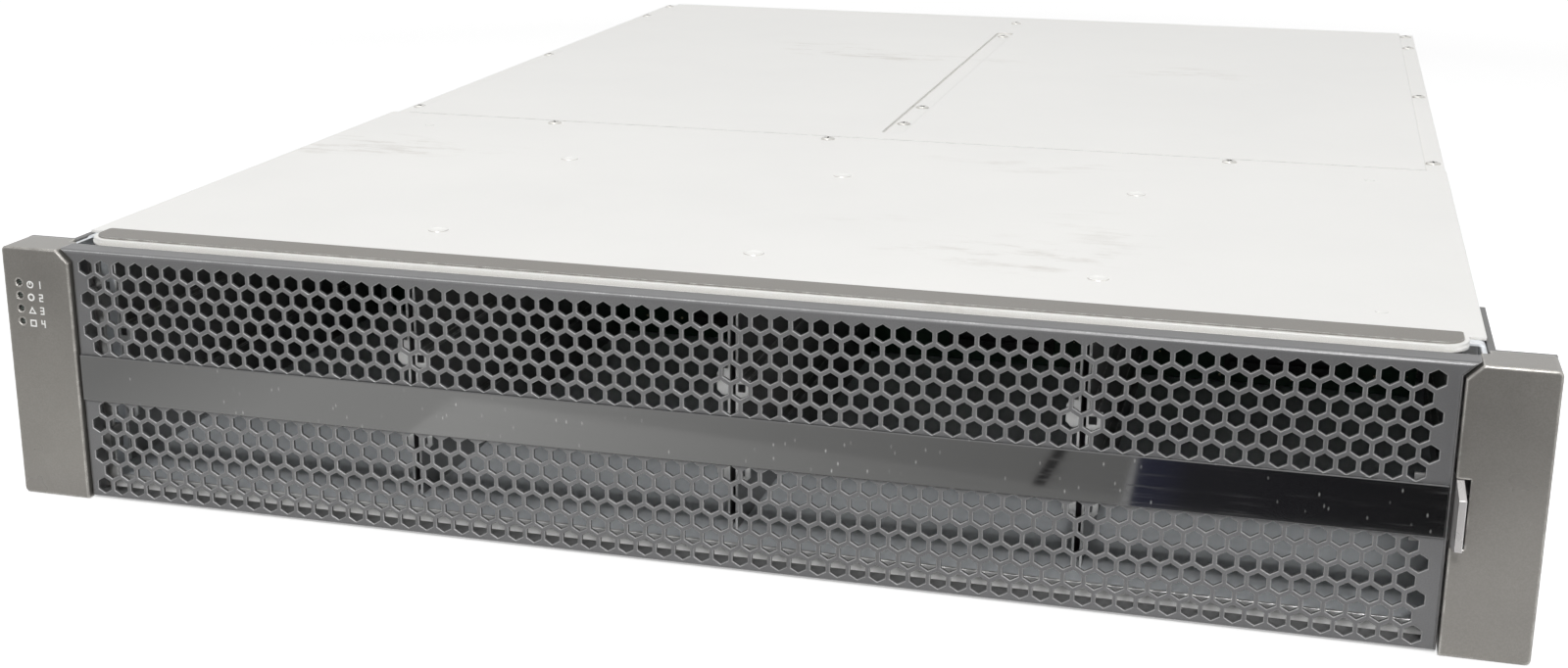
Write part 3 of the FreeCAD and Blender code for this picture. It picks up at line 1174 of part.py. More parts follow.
def all_nodes():
    """Every piece by its name."""
    nodes = {
        "chassis_tray": chassis_tray(),
        "top_cover": top_cover(),
        "cover_trim_strip": cover_trim_strip(),
        "rear_top_panel": rear_top_panel(),
        "cover_screws": cover_screws(),
        "front_frame": front_frame(),
        "side_guides": side_guides(),
        "midplane_board": midplane_board(),
        "drive_connectors": drive_connectors(),
        "module_connectors": module_connectors(),
        "midplane_frame": midplane_frame(),
        "centre_wall": centre_wall(),
        "module_shelves": module_shelves(),
        "ear_cover_left": ear_cover_left(),
        "ear_cover_right": ear_cover_right(),
        "indicator_lenses": indicator_lenses(),
        "indicator_board": indicator_board(),
        "latch_bracket": latch_bracket(),
        "latch_spring": latch_spring(),
        "latch_lever": latch_lever(),
        "bezel_panel": bezel_panel(),
        "bezel_band": bezel_band(),
        "bezel_hooks": bezel_hooks(),
        "bezel_catch_plate": bezel_catch_plate(),
    }
    for name, x in zip(("left", "centre", "right"), DIVIDERS_X):
        nodes["bay_divider_" + name] = bay_divider(x)
    for name, side in SIDES.items():
        nodes["ear_bracket_" + name] = ear_bracket(side)
        left = MODULE_LEFT[name]
        upper, lower = UPPER_MODULE, LOWER_MODULE
        psu = "psu_" + name
        nodes[psu + "_case"] = module_case(left, upper)
        nodes[psu + "_board"] = module_board(left, upper, FACE_BACK - FAN_DEPTH - BOARD_END_GAP,
                                              (CAPACITOR_BANK, HEAT_SINK, TRANSFORMER))
        nodes[psu + "_face"] = psu_face(left, upper)
        nodes[psu + "_handle"] = psu_handle(left, upper)
        nodes[psu + "_fan_frame"] = fan_frame(left, upper)
        nodes[psu + "_fan"] = fan_rotor(left, upper)
        nodes[psu + "_inlet"] = psu_inlet(left, upper)
        nodes[psu + "_switch"] = psu_switch(left, upper)
        nodes[psu + "_latch"] = psu_latch(left, upper)
        io = "io_" + name
        nodes[io + "_case"] = module_case(left, lower)
        nodes[io + "_board"] = module_board(left, lower, FACE_BACK - PORT_DEPTH,
                                             (CHIP_COOLER, CONTROL_CHIP, MEMORY_CARD))
        nodes[io + "_face"] = io_face(left, lower)
        nodes[io + "_ports"] = io_ports(left, lower)
        nodes[io + "_lever"] = io_lever(left, lower)
    return nodes


for node, shape in all_nodes().items():
    shape.translate(Vector(0, -ORIGIN_Y, 0))
    shape.exportStep("parts/" + node + ".step")
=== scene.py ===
"""The looks of the disk shelf enclosure. Metres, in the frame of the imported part: X across, Y to the rear, Z up."""

import json
import math
import random

import bmesh
import bpy
from mathutils import Matrix, Vector, geometry


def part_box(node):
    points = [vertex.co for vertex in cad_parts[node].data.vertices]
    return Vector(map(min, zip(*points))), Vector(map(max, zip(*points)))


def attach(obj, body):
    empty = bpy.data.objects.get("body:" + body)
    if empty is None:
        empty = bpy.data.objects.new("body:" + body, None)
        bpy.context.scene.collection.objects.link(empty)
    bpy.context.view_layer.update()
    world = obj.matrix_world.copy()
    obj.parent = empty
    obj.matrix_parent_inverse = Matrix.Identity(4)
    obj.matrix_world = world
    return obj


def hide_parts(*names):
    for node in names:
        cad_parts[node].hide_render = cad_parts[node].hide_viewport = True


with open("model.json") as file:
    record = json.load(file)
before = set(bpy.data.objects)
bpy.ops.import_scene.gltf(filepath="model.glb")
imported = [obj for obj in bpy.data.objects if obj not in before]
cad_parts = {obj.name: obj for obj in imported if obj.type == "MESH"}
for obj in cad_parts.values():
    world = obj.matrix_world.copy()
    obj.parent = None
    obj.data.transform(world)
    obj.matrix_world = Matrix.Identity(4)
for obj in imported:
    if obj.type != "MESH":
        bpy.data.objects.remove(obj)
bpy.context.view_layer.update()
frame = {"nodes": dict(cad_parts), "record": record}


SEED = 7
random.seed(SEED)
MM = 0.001
ORIGIN_Y = 333.0


def at(x, y, z):
    """A point given in millimetres from the middle, from the ear covers' front and from the underside."""
    return Vector((x * MM, (y - ORIGIN_Y) * MM, z * MM))


# Materials

# The colour sockets of a Mix node
FIRST_COLOUR, SECOND_COLOUR, MIXED_COLOUR = 6, 7, 2
BEVEL_SAMPLES = 6
# How far a bevelled normal leans, as a cosine, where the lighter edge colour, part wear and part painted highlight,
# begins and where it is full
EDGE_WEAR_AND_HIGHLIGHT_LEAN = (0.985, 0.9)


class Shader:
    """A node material with a few shorthands."""

    def __init__(self, name):
        self.material = bpy.data.materials.new(name)
        self.material.use_nodes = True
        self.tree = self.material.node_tree
        self.bsdf = self.tree.nodes["Principled BSDF"]
        self.coords = self.node("ShaderNodeTexCoord").outputs["Object"]

    def node(self, kind, **settings):
        made = self.tree.nodes.new(kind)
        for key, value in settings.items():
            setattr(made, key, value)
        return made

    def link(self, output, target):
        self.tree.links.new(output, target)

    def noise(self, scale, detail=3.0, rough=0.55, stretch=(1, 1, 1)):
        mapping = self.node("ShaderNodeMapping")
        mapping.inputs["Scale"].default_value = stretch
        self.link(self.coords, mapping.inputs["Vector"])
        made = self.node("ShaderNodeTexNoise")
        made.inputs["Scale"].default_value = scale
        made.inputs["Detail"].default_value = detail
        made.inputs["Roughness"].default_value = rough
        self.link(mapping.outputs["Vector"], made.inputs["Vector"])
        return made.outputs["Fac"]

    def spread(self, value, low, high, to_low, to_high):
        made = self.node("ShaderNodeMapRange")
        made.inputs["From Min"].default_value = low
        made.inputs["From Max"].default_value = high
        made.inputs["To Min"].default_value = to_low
        made.inputs["To Max"].default_value = to_high
        self.link(value, made.inputs["Value"])
        return made.outputs["Result"]

    def mix(self, factor, first, second):
        made = self.node("ShaderNodeMix", data_type="RGBA")
        self.link(factor, made.inputs["Factor"])
        for slot, colour in ((FIRST_COLOUR, first), (SECOND_COLOUR, second)):
            if isinstance(colour, tuple):
                made.inputs[slot].default_value = (*colour, 1)
            else:
                self.link(colour, made.inputs[slot])
        return made.outputs[MIXED_COLOUR]

    def maths(self, operation, first, second):
        made = self.node("ShaderNodeMath", operation=operation)
        self.link(first, made.inputs[0])
        self.link(second, made.inputs[1])
        return made.outputs["Value"]

    def edges(self, radius):
        """How near a surface point is to a sharp edge, and the eased normal there."""
        bevel = self.node("ShaderNodeBevel", samples=BEVEL_SAMPLES)
        bevel.inputs["Radius"].default_value = radius
        plain = self.node("ShaderNodeNewGeometry")
        dot = self.node("ShaderNodeVectorMath", operation="DOT_PRODUCT")
        self.link(bevel.outputs["Normal"], dot.inputs[0])
        self.link(plain.outputs["Normal"], dot.inputs[1])
        return self.spread(dot.outputs["Value"], *EDGE_WEAR_AND_HIGHLIGHT_LEAN, 0.0, 1.0), bevel.outputs["Normal"]

    def bump(self, height, strength, distance, normal=None):
        made = self.node("ShaderNodeBump")
        made.inputs["Strength"].default_value = strength
        made.inputs["Distance"].default_value = distance
        self.link(height, made.inputs["Height"])
        if normal is not None:
            self.link(normal, made.inputs["Normal"])
        self.link(made.outputs["Normal"], self.bsdf.inputs["Normal"])


def shade(colour, factor):
    return tuple(min(1.0, c * factor) for c in colour)


# Where the values of a noise mostly lie
NOISE_REACH = (0.3, 0.7)
PATCH_SCALE = 14.0
GRAIN_SCALE = 2200.0
GRAIN_SHADE = 0.82
GRAIN_GAIN = 10
BRUSH_SCALE = 600.0
BRUSH_SHADE = 0.86
BRUSH_SHARE = 0.35
RUB_AREA_SCALE = 11.0
RUB_MARK_SCALE = 140.0
RUB_SHARE = 0.38
# Painted shade in corners and recesses, by ambient occlusion
PAINTED_SHADE_REACH = 0.005
PAINTED_SHADE_SHARE = 0.8
PAINTED_SHADE_SAMPLES = 8
EDGE_WEAR_AND_HIGHLIGHT_SCALE = 260.0
# The part of the object's own normal along Y where a face begins to count as facing the front, and where it does;
# such faces are painted as lit by the front lamp
PAINTED_FRONT_LIGHT_FACING = (-0.6, -0.9)
ROUGH_CHANGE = 0.15
BUMP_STRENGTH = 0.12
BUMP_DEPTH = 0.0002


def finish_of(name, colour, rough, metallic, patch, grain, streak=None, edge=None, edge_wear_and_highlight_colour=None, ior=1.5,
              coat=0.0, patch_scale=PATCH_SCALE, scuff=None, front=None, recess=None):
    """A surface with slow colour patches and fine grain, and what else is asked for.

    streak stretches a brushing, and edge is the reach in metres of lighter edges, part wear and part painted
    highlight. scuff is the colour of rubbed spots, recess that of painted shade in corners and recesses, and front
    that of faces that face the front, painted as lit by the front lamp.
    """
    s = Shader(name)
    slow = s.noise(patch_scale, 4.0, 0.6)
    base = s.mix(s.spread(slow, *NOISE_REACH, 0.0, 1.0), shade(colour, 1 - patch), shade(colour, 1 + patch))
    fine = s.noise(GRAIN_SCALE, 2.0)
    base = s.mix(s.spread(fine, 0.35, 0.65, 0.0, grain * GRAIN_GAIN), base, shade(colour, GRAIN_SHADE))
    height = fine
    if streak:
        height = s.noise(BRUSH_SCALE, 3.0, 0.6, streak)
        base = s.mix(s.spread(height, 0.4, 0.75, 0.0, BRUSH_SHARE), base, shade(colour, BRUSH_SHADE))
    if scuff:
        where = s.spread(s.noise(RUB_AREA_SCALE, 2.0, 0.5, (0.6, 1, 1)), 0.62, 0.7, 0.0, 1.0)
        marks = s.spread(s.noise(RUB_MARK_SCALE, 5.0, 0.7, (0.3, 1, 1)), 0.5, 0.68, 0.0, RUB_SHARE)
        base = s.mix(s.maths("MULTIPLY", where, marks), base, scuff)
    # Painted shade: corners and recesses darken towards the recess colour by ambient occlusion
    if recess:
        corner = s.node("ShaderNodeAmbientOcclusion", samples=PAINTED_SHADE_SAMPLES)
        corner.inputs["Distance"].default_value = PAINTED_SHADE_REACH
        base = s.mix(s.spread(corner.outputs["AO"], 0.72, 0.42, 0.0, PAINTED_SHADE_SHARE), base, recess)
    normal = None
    # Edges lighten towards the edge colour in broken patches: part wear, part painted highlight
    if edge:
        near, normal = s.edges(edge)
        broken = s.spread(s.noise(EDGE_WEAR_AND_HIGHLIGHT_SCALE, 3.0), 0.4, 0.62, 0.25, 1.0)
        base = s.mix(s.maths("MULTIPLY", near, broken), base, edge_wear_and_highlight_colour)
    s.bsdf.inputs["Metallic"].default_value = metallic
    # Faces that face the front take the front colour and no metallic: painted light from the front lamp
    if front:
        split = s.node("ShaderNodeSeparateXYZ")
        s.link(s.node("ShaderNodeTexCoord").outputs["Normal"], split.inputs[0])
        base = s.mix(s.spread(split.outputs["Y"], *PAINTED_FRONT_LIGHT_FACING, 0.0, 1.0), base, front)
        s.link(s.spread(split.outputs["Y"], *PAINTED_FRONT_LIGHT_FACING, metallic, 0.0), s.bsdf.inputs["Metallic"])
    s.link(base, s.bsdf.inputs["Base Color"])
    gloss = s.spread(slow, *NOISE_REACH, rough * (1 - ROUGH_CHANGE), rough * (1 + ROUGH_CHANGE))
    s.link(gloss, s.bsdf.inputs["Roughness"])
    s.bsdf.inputs["IOR"].default_value = ior
    s.bsdf.inputs["Coat Weight"].default_value = coat
    s.bump(height, BUMP_STRENGTH, BUMP_DEPTH, normal)
    return s.material


HAIR_SCALE = 900.0
DUST_SCALE = 9.0
BAND_IOR = 2.3
SPECK_SCALE = 240.0
SPECK_AREA_SCALE = 60.0
SPECK_TILT = 0.35
SPECK_STRETCH = 0.4


def gloss_band():
    """Black gloss with hairline scratches and a few specks."""
    s = Shader("band_gloss")
    hair = s.noise(HAIR_SCALE, 2.0, 0.5, (0.05, 1, 1))
    specks = s.node("ShaderNodeTexVoronoi", voronoi_dimensions="2D")
    specks.inputs["Scale"].default_value = SPECK_SCALE
    slender = s.node("ShaderNodeMapping")
    slender.inputs["Rotation"].default_value = (math.pi / 2, SPECK_TILT, 0.0)
    slender.inputs["Scale"].default_value = (1.0, 1.0, SPECK_STRETCH)
    s.link(s.coords, slender.inputs["Vector"])
    s.link(slender.outputs["Vector"], specks.inputs["Vector"])
    few = s.spread(s.noise(SPECK_AREA_SCALE, 2.0), 0.48, 0.68, 0.0, 0.8)
    spot = s.maths("MULTIPLY", s.spread(specks.outputs["Distance"], 0.02, 0.08, 1.0, 0.0), few)
    dust = s.spread(s.noise(DUST_SCALE, 4.0), 0.4, 0.75, 0.0, 0.55)
    base = s.mix(dust, (0.0065, 0.0065, 0.007), (0.013, 0.013, 0.013))
    base = s.mix(spot, base, (0.4, 0.4, 0.39))
    s.link(base, s.bsdf.inputs["Base Color"])
    s.link(s.spread(hair, 0.55, 0.8, 0.07, 0.2), s.bsdf.inputs["Roughness"])
    s.bsdf.inputs["IOR"].default_value = BAND_IOR
    s.bump(hair, 0.02, 0.0001)
    return s.material


def circuit_board():
    """Solder mask with copper tracks showing through, and pads."""
    s = Shader("board_green")
    # The tracks are a fine brick pattern
    brick = s.node("ShaderNodeTexBrick")
    brick.inputs["Scale"].default_value = 90.0
    brick.inputs["Color1"].default_value = (0.005, 0.03, 0.016, 1)
    brick.inputs["Color2"].default_value = (0.004, 0.024, 0.013, 1)
    brick.inputs["Mortar"].default_value = (0.01, 0.05, 0.025, 1)
    brick.inputs["Mortar Size"].default_value = 0.03
    s.link(s.coords, brick.inputs["Vector"])
    pads = s.node("ShaderNodeTexVoronoi")
    pads.inputs["Scale"].default_value = 160.0
    s.link(s.coords, pads.inputs["Vector"])
    base = s.mix(s.spread(pads.outputs["Distance"], 0.08, 0.1, 1.0, 0.0), brick.outputs["Color"], (0.55, 0.5, 0.32))
    s.link(base, s.bsdf.inputs["Base Color"])
    s.bsdf.inputs["Roughness"].default_value = 0.35
    s.bump(brick.outputs["Fac"], 0.2, 0.0001)
    return s.material


ALONG_Y = (1, 0.02, 1)
ALONG_X = (0.02, 1, 1)
ALONG_Z = (1, 1, 0.03)
FINISHES = {
    "tray_sheet": dict(colour=(0.87, 0.9, 0.94), rough=0.42, metallic=0.1, patch=0.08, grain=0.02, streak=ALONG_Y,
                       edge=0.0005, edge_wear_and_highlight_colour=(0.93, 0.93, 0.92)),
    # The cover's recess colour is painted shade in its corners and recesses
    "cover_sheet": dict(colour=(0.965, 0.958, 0.935), rough=0.55, metallic=0.12, patch=0.02, grain=0.008,
                        edge=0.0006, edge_wear_and_highlight_colour=(0.97, 0.97, 0.96), patch_scale=9.0, scuff=(0.5, 0.46, 0.4),
                        recess=(0.52, 0.50, 0.46)),
    "trim_grey": dict(colour=(0.262, 0.249, 0.229), rough=0.55, metallic=0.0, patch=0.05, grain=0.04, edge=0.0004,
                      edge_wear_and_highlight_colour=(0.75, 0.75, 0.73)),
    "frame_sheet": dict(colour=(0.86, 0.86, 0.85), rough=0.36, metallic=0.7, patch=0.05, grain=0.02, streak=ALONG_X,
                        edge=0.0004, edge_wear_and_highlight_colour=(0.95, 0.95, 0.93)),
    "screw_steel": dict(colour=(0.62, 0.61, 0.58), rough=0.3, metallic=0.9, patch=0.08, grain=0.02, edge=0.0002,
                        edge_wear_and_highlight_colour=(0.9, 0.9, 0.88)),
    # The dividers' faces that face the front are painted near white: painted light from the front lamp
    "guide_sheet": dict(colour=(0.30, 0.30, 0.30), rough=0.4, metallic=0.6, patch=0.06, grain=0.02, streak=ALONG_Y,
                        edge=0.0009, edge_wear_and_highlight_colour=(0.9, 0.9, 0.89), front=(0.97, 0.97, 0.96)),
    "ear_grey": dict(colour=(0.275, 0.263, 0.244), rough=0.3, metallic=0.6, patch=0.10, grain=0.06, edge=0.0011,
                     edge_wear_and_highlight_colour=(0.75, 0.73, 0.69), patch_scale=22.0),
    "bracket_steel": dict(colour=(0.2, 0.2, 0.197), rough=0.6, metallic=0.3, patch=0.08, grain=0.02, streak=ALONG_Y,
                          edge=0.0005, edge_wear_and_highlight_colour=(0.3, 0.3, 0.295)),
    # The bezel's lighter edge colour is a painted highlight along the edges of its holes and sheet
    "bezel_grey": dict(colour=(0.165, 0.165, 0.168), rough=0.36, metallic=0.35, patch=0.08, grain=0.05, edge=0.0004,
                       edge_wear_and_highlight_colour=(0.5, 0.5, 0.5), patch_scale=16.0),
    # The latch's near white edge colour is a painted highlight along its rims
    "latch_bright": dict(colour=(0.60, 0.58, 0.575), rough=0.3, metallic=0.5, patch=0.06, grain=0.02,
                         streak=ALONG_Z, edge=0.0004, edge_wear_and_highlight_colour=(0.97, 0.96, 0.95)),
    "spring_steel": dict(colour=(0.55, 0.55, 0.56), rough=0.25, metallic=0.95, patch=0.06, grain=0.01,
                         streak=ALONG_X),
    "lens_clear": dict(colour=(0.025, 0.035, 0.028), rough=0.08, metallic=0.0, patch=0.1, grain=0.01, ior=1.55,
                       coat=0.5),
    "connector_black": dict(colour=(0.018, 0.018, 0.019), rough=0.45, metallic=0.0, patch=0.2, grain=0.05,
                            edge=0.0004, edge_wear_and_highlight_colour=(0.06, 0.06, 0.06)),
    "module_sheet": dict(colour=(0.64, 0.64, 0.63), rough=0.36, metallic=0.85, patch=0.06, grain=0.02,
                         streak=ALONG_Y, edge=0.0005, edge_wear_and_highlight_colour=(0.88, 0.88, 0.86)),
    "face_sheet": dict(colour=(0.66, 0.66, 0.645), rough=0.40, metallic=0.75, patch=0.06, grain=0.02,
                       streak=ALONG_X, edge=0.0005, edge_wear_and_highlight_colour=(0.88, 0.88, 0.86)),
    "handle_black": dict(colour=(0.022, 0.022, 0.023), rough=0.5, metallic=0.0, patch=0.15, grain=0.08, edge=0.0006,
                         edge_wear_and_highlight_colour=(0.09, 0.09, 0.09)),
    "fan_black": dict(colour=(0.014, 0.014, 0.015), rough=0.42, metallic=0.0, patch=0.15, grain=0.05, edge=0.0004,
                      edge_wear_and_highlight_colour=(0.05, 0.05, 0.05)),
    "switch_black": dict(colour=(0.010, 0.010, 0.011), rough=0.16, metallic=0.0, patch=0.1, grain=0.02, edge=0.0004,
                         edge_wear_and_highlight_colour=(0.05, 0.05, 0.05), coat=0.4),
    "lever_grey": dict(colour=(0.075, 0.082, 0.095), rough=0.45, metallic=0.0, patch=0.12, grain=0.06, edge=0.0005,
                       edge_wear_and_highlight_colour=(0.16, 0.17, 0.19)),
    "port_metal": dict(colour=(0.70, 0.70, 0.68), rough=0.3, metallic=0.9, patch=0.06, grain=0.02, streak=ALONG_Y,
                       edge=0.0003, edge_wear_and_highlight_colour=(0.92, 0.92, 0.9)),
}
looks = {name: finish_of(name, **values) for name, values in FINISHES.items()}
looks["band_gloss"] = gloss_band()
looks["board_green"] = circuit_board()
sign_white = finish_of("sign_white", colour=(0.84, 0.84, 0.82), rough=0.5, metallic=0.0, patch=0.04, grain=0.03)
# A lighter grey for the hole chamfers and one step of the bend: a painted highlight
bezel_painted_highlight = finish_of("bezel_painted_highlight", colour=(0.4, 0.4, 0.4), rough=0.35, metallic=0.3, patch=0.4, grain=0.1,
                      patch_scale=180.0)
gilt = finish_of("gilt", colour=(0.85, 0.6, 0.25), rough=0.3, metallic=0.95, patch=0.06, grain=0.02)
# Near black: painted shade in the screws' cross recesses, and the print of the rear numerals
recess_shade_and_print_dark = finish_of("recess_shade_and_print_dark", colour=(0.02, 0.02, 0.02), rough=0.6, metallic=0.3, patch=0.2, grain=0.05)
slot_of = {part["node"]: part["material_slot"] for part in frame["record"]["subparts"]}
for node, thing in frame["nodes"].items():
    if not thing.material_slots:
        thing.data.materials.append(None)
    for material_slot in thing.material_slots:
        material_slot.material = looks[slot_of[node]]


# Mesh helpers

SMOOTH_BELOW = math.radians(35)
ROUND_SIDES = 24
# Points nearer to each other than this are one point
WELD = 1e-7
# Delaunay output of triangles inside the outlines only
INSIDE = 1
# The place of a piece's second material
SECOND = 1


def new_piece(name, bm, material, body, smooth=False):
    """Turns a bmesh in metres into an object that rides on a body."""
    mesh = bpy.data.meshes.new(name)
    bmesh.ops.recalc_face_normals(bm, faces=bm.faces)
    bm.to_mesh(mesh)
    bm.free()
    made = bpy.data.objects.new(name, mesh)
    bpy.context.scene.collection.objects.link(made)
    for one in material if isinstance(material, list) else [material]:
        mesh.materials.append(one)
    if smooth:
        mesh.shade_smooth()
        mesh.set_sharp_from_angle(angle=SMOOTH_BELOW)
    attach(made, body)
    return made


def hexagon(cu, cv, radius):
    return [(cu - radius * math.sin(math.pi / 3 * k), cv + radius * math.cos(math.pi / 3 * k)) for k in range(6)]


def circle(cu, cv, radius, sides):
    return [(cu + radius * math.cos(2 * math.pi * k / sides), cv + radius * math.sin(2 * math.pi * k / sides))
            for k in range(sides)]


def triangulate(outer, holes):
    """Triangles that fill an outline around its holes, and where each loop's corners went."""
    points = list(outer)
    loops = [list(range(len(outer)))]
    for hole in holes:
        loops.append(list(range(len(points), len(points) + len(hole))))
        points += hole
    out = geometry.delaunay_2d_cdt([Vector(p) for p in points], [], loops, INSIDE, WELD, True)
    verts, _, faces, old_verts, _, old_faces = out
    place = {}
    for new, olds in enumerate(old_verts):
        for old in olds:
            place[old] = new
    kept = [face for face, inside in zip(faces, old_faces) if set(inside) == {0}]
    return [tuple(v) for v in verts], kept, [[place[i] for i in loop] for loop in loops]


def ring_faces(bm, first, second, material=0):
    count = len(first)
    for i in range(count):
        face = bm.faces.new((first[i], first[(i + 1) % count], second[(i + 1) % count], second[i]))
        face.material_index = material


def inset(points, amount):
    """A convex outline moved inwards, with its corners kept sharp."""
    count = len(points)
    moved = []
    for i in range(count):
        p0, p1, p2 = Vector(points[i - 1]), Vector(points[i]), Vector(points[(i + 1) % count])
        a, b = (p1 - p0).normalized(), (p2 - p1).normalized()
        n0, n1 = Vector((-a.y, a.x)), Vector((-b.y, b.x))
        moved.append(tuple(p1 + (n0 + n1) * (amount / (1 + n0.dot(n1)))))
    return moved


# The bezel, with the full perforation

HEX_PITCH = 6.183
HEX_FLATS = 4.8
HEX_ROW_PITCH = 5.417
HEX_TOP = 80.95
HEX_LEFT = -211.0
HEX_COLUMNS = 69
HEX_ROWS = 15
HIDDEN_ROWS = (6, 7, 8)
BEZEL_HALF_WIDTH = 216.2
BEZEL_FRONT = 1.2
BEZEL_SHEET = 1.2
BEZEL_REAR = 9.0
BEZEL_BEND = 1.3
BEND_STEPS = 5
# The step of the bend that carries the painted highlight
PAINTED_HIGHLIGHT_STEP = 3
HOLE_EASE = 0.2
BAND_EASE = 0.4


def bezel_piece():
    """The perforated front with rolled edges and returns all round, with a painted highlight on the hole chamfers and
    along one step of the bend.
    """
    low, high = (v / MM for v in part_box("bezel_panel"))
    half = BEZEL_HALF_WIDTH
    flare = high.x
    flare_start = high.z - (flare - half)
    outline = [(-half, low.z), (half, low.z), (half, flare_start), (flare, high.z), (-flare, high.z),
               (-half, flare_start)]
    radius = HEX_FLATS / math.sqrt(3)
    centres = []
    for row in range(HEX_ROWS):
        if row in HIDDEN_ROWS:
            continue
        z = HEX_TOP - row * HEX_ROW_PITCH
        shift = row % 2
        centres += [(HEX_LEFT + (i + shift / 2) * HEX_PITCH, z) for i in range(HEX_COLUMNS - shift)]
    holes = [hexagon(x, z, radius + HOLE_EASE) for x, z in centres]
    face = inset(outline, BEZEL_BEND)
    flat, triangles, loops = triangulate(face, holes)
    bm = bmesh.new()
    front = [bm.verts.new(at(u, BEZEL_FRONT, v)) for u, v in flat]
    back_y = BEZEL_FRONT + BEZEL_SHEET
    back_flat = list(flat)
    middle_rings = []
    for (x, z), loop in zip(centres, loops[1:]):
        ring = []
        for i in loop:
            u, v = flat[i]
            scale = radius / (radius + HOLE_EASE)
            back_flat[i] = (x + (u - x) * scale, z + (v - z) * scale)
            ring.append(bm.verts.new(at(back_flat[i][0], BEZEL_FRONT + HOLE_EASE, back_flat[i][1])))
        middle_rings.append(ring)
    back = [bm.verts.new(at(u, back_y, v)) for u, v in back_flat]
    for triangle in triangles:
        bm.faces.new([front[i] for i in triangle])
        bm.faces.new([back[i] for i in reversed(triangle)])
    for loop, ring in zip(loops[1:], middle_rings):
        # The hole chamfers take the second material, a painted highlight
        ring_faces(bm, [front[i] for i in loop], ring, SECOND)
        ring_faces(bm, ring, [back[i] for i in loop])
    last = [front[i] for i in loops[0]]
    for k in range(1, BEND_STEPS + 1):
        turn = math.pi / 2 * k / BEND_STEPS
        points = inset(outline, BEZEL_BEND * (1 - math.sin(turn)))
        y = BEZEL_FRONT + BEZEL_BEND * (1 - math.cos(turn))
        ring = [bm.verts.new(at(u, y, v)) for u, v in points]
        # One step of the bend takes the second material, a painted highlight
        ring_faces(bm, last, ring, SECOND if k == PAINTED_HIGHLIGHT_STEP else 0)
        last = ring
    rear = [bm.verts.new(at(u, BEZEL_REAR, v)) for u, v in outline]
    ring_faces(bm, last, rear)
    inner = inset(outline, BEZEL_SHEET)
    inner_rear = [bm.verts.new(at(u, BEZEL_REAR, v)) for u, v in inner]
    ring_faces(bm, rear, inner_rear)
    inner_front = [bm.verts.new(at(u, back_y, v)) for u, v in inner]
    ring_faces(bm, inner_rear, inner_front)
    ring_faces(bm, inner_front, [back[i] for i in loops[0]])
    piece = new_piece("bezel_sheet", bm, [looks["bezel_grey"], bezel_painted_highlight], "bezel")
    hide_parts("bezel_panel")


EASE_SEGMENTS = 3


def block(bm, low, high, ease):
    """A block with rounded edges, between two corners in millimetres."""
    corners = [bm.verts.new(at(x, y, z))
               for x in (low[0], high[0]) for y in (low[1], high[1]) for z in (low[2], high[2])]
    sides = []
    for quad in ((0, 1, 3, 2), (4, 6, 7, 5), (0, 4, 5, 1), (2, 3, 7, 6), (0, 2, 6, 4), (1, 5, 7, 3)):
        sides.append(bm.faces.new([corners[i] for i in quad]))
    edges = list(dict.fromkeys(edge for side in sides for edge in side.edges))
    bmesh.ops.bevel(bm, geom=edges, offset=ease * MM, segments=EASE_SEGMENTS, profile=0.5, affect="EDGES")


def band_piece():
    low, high = (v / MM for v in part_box("bezel_band"))
    bm = bmesh.new()
    block(bm, (low.x, low.y + ORIGIN_Y, low.z), (high.x, high.y + ORIGIN_Y, high.z), BAND_EASE)
    piece = new_piece("gloss_band", bm, looks["band_gloss"], "bezel")
    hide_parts("bezel_band")


def turned(bm, centre, profile, material=0, close_last=True):
    """A low round head on a level surface: profile is radius and height, from the rim to the middle."""
    x, y, z = centre
    last = None
    for radius, height in profile:
        ring = [bm.verts.new(at(x + u, y + v, z + height)) for u, v in circle(0, 0, radius, ROUND_SIDES)]
        if last:
            ring_faces(bm, last, ring, material)
        last = ring
    if close_last:
        bm.faces.new(last).material_index = material


SCREW_PROFILE = ((2.9, 0.0), (2.9, 0.25), (2.6, 0.6), (2.05, 0.78))
CROSS_REACH = 1.45
CROSS_HALF = 0.34
CROSS_DEPTH = 0.5
# Packed vertices nearer than this to a screw's first one belong to it
SCREW_SPACING = 8.0


def cross(cu, cv, reach, half, turn):
    """The outline of a cross, with the reach and half the width of its arms."""
    points = []
    for k in range(4):
        a = turn + math.pi / 2 * k
        ahead = (math.cos(a), math.sin(a))
        side = (-math.sin(a), math.cos(a))
        points.append((cu + ahead[0] * reach - side[0] * half, cv + ahead[1] * reach - side[1] * half))
        points.append((cu + ahead[0] * reach + side[0] * half, cv + ahead[1] * reach + side[1] * half))
        points.append((cu + (ahead[0] + side[0]) * half, cv + (ahead[1] + side[1]) * half))
    return points


def screw_head(bm, x, y, z):
    """A pan head with a cross recess."""
    turned(bm, (x, y, z), SCREW_PROFILE, close_last=False)
    top_z = z + SCREW_PROFILE[-1][1]
    outer = circle(x, y, SCREW_PROFILE[-1][0], ROUND_SIDES)
    recess = cross(x, y, CROSS_REACH, CROSS_HALF, random.uniform(0, math.pi / 2))
    flat, triangles, loops = triangulate(outer, [recess])
    top = [bm.verts.new(at(u, v, top_z)) for u, v in flat]
    for triangle in triangles:
        bm.faces.new([top[i] for i in triangle])
    floor = [bm.verts.new(at(u, v, top_z - CROSS_DEPTH)) for u, v in recess]
    # The recess walls and floor take the near black second material: painted shade
    ring_faces(bm, [top[i] for i in loops[1]], floor, SECOND)
    bm.faces.new(floor).material_index = SECOND
    bmesh.ops.remove_doubles(bm, verts=bm.verts, dist=WELD)


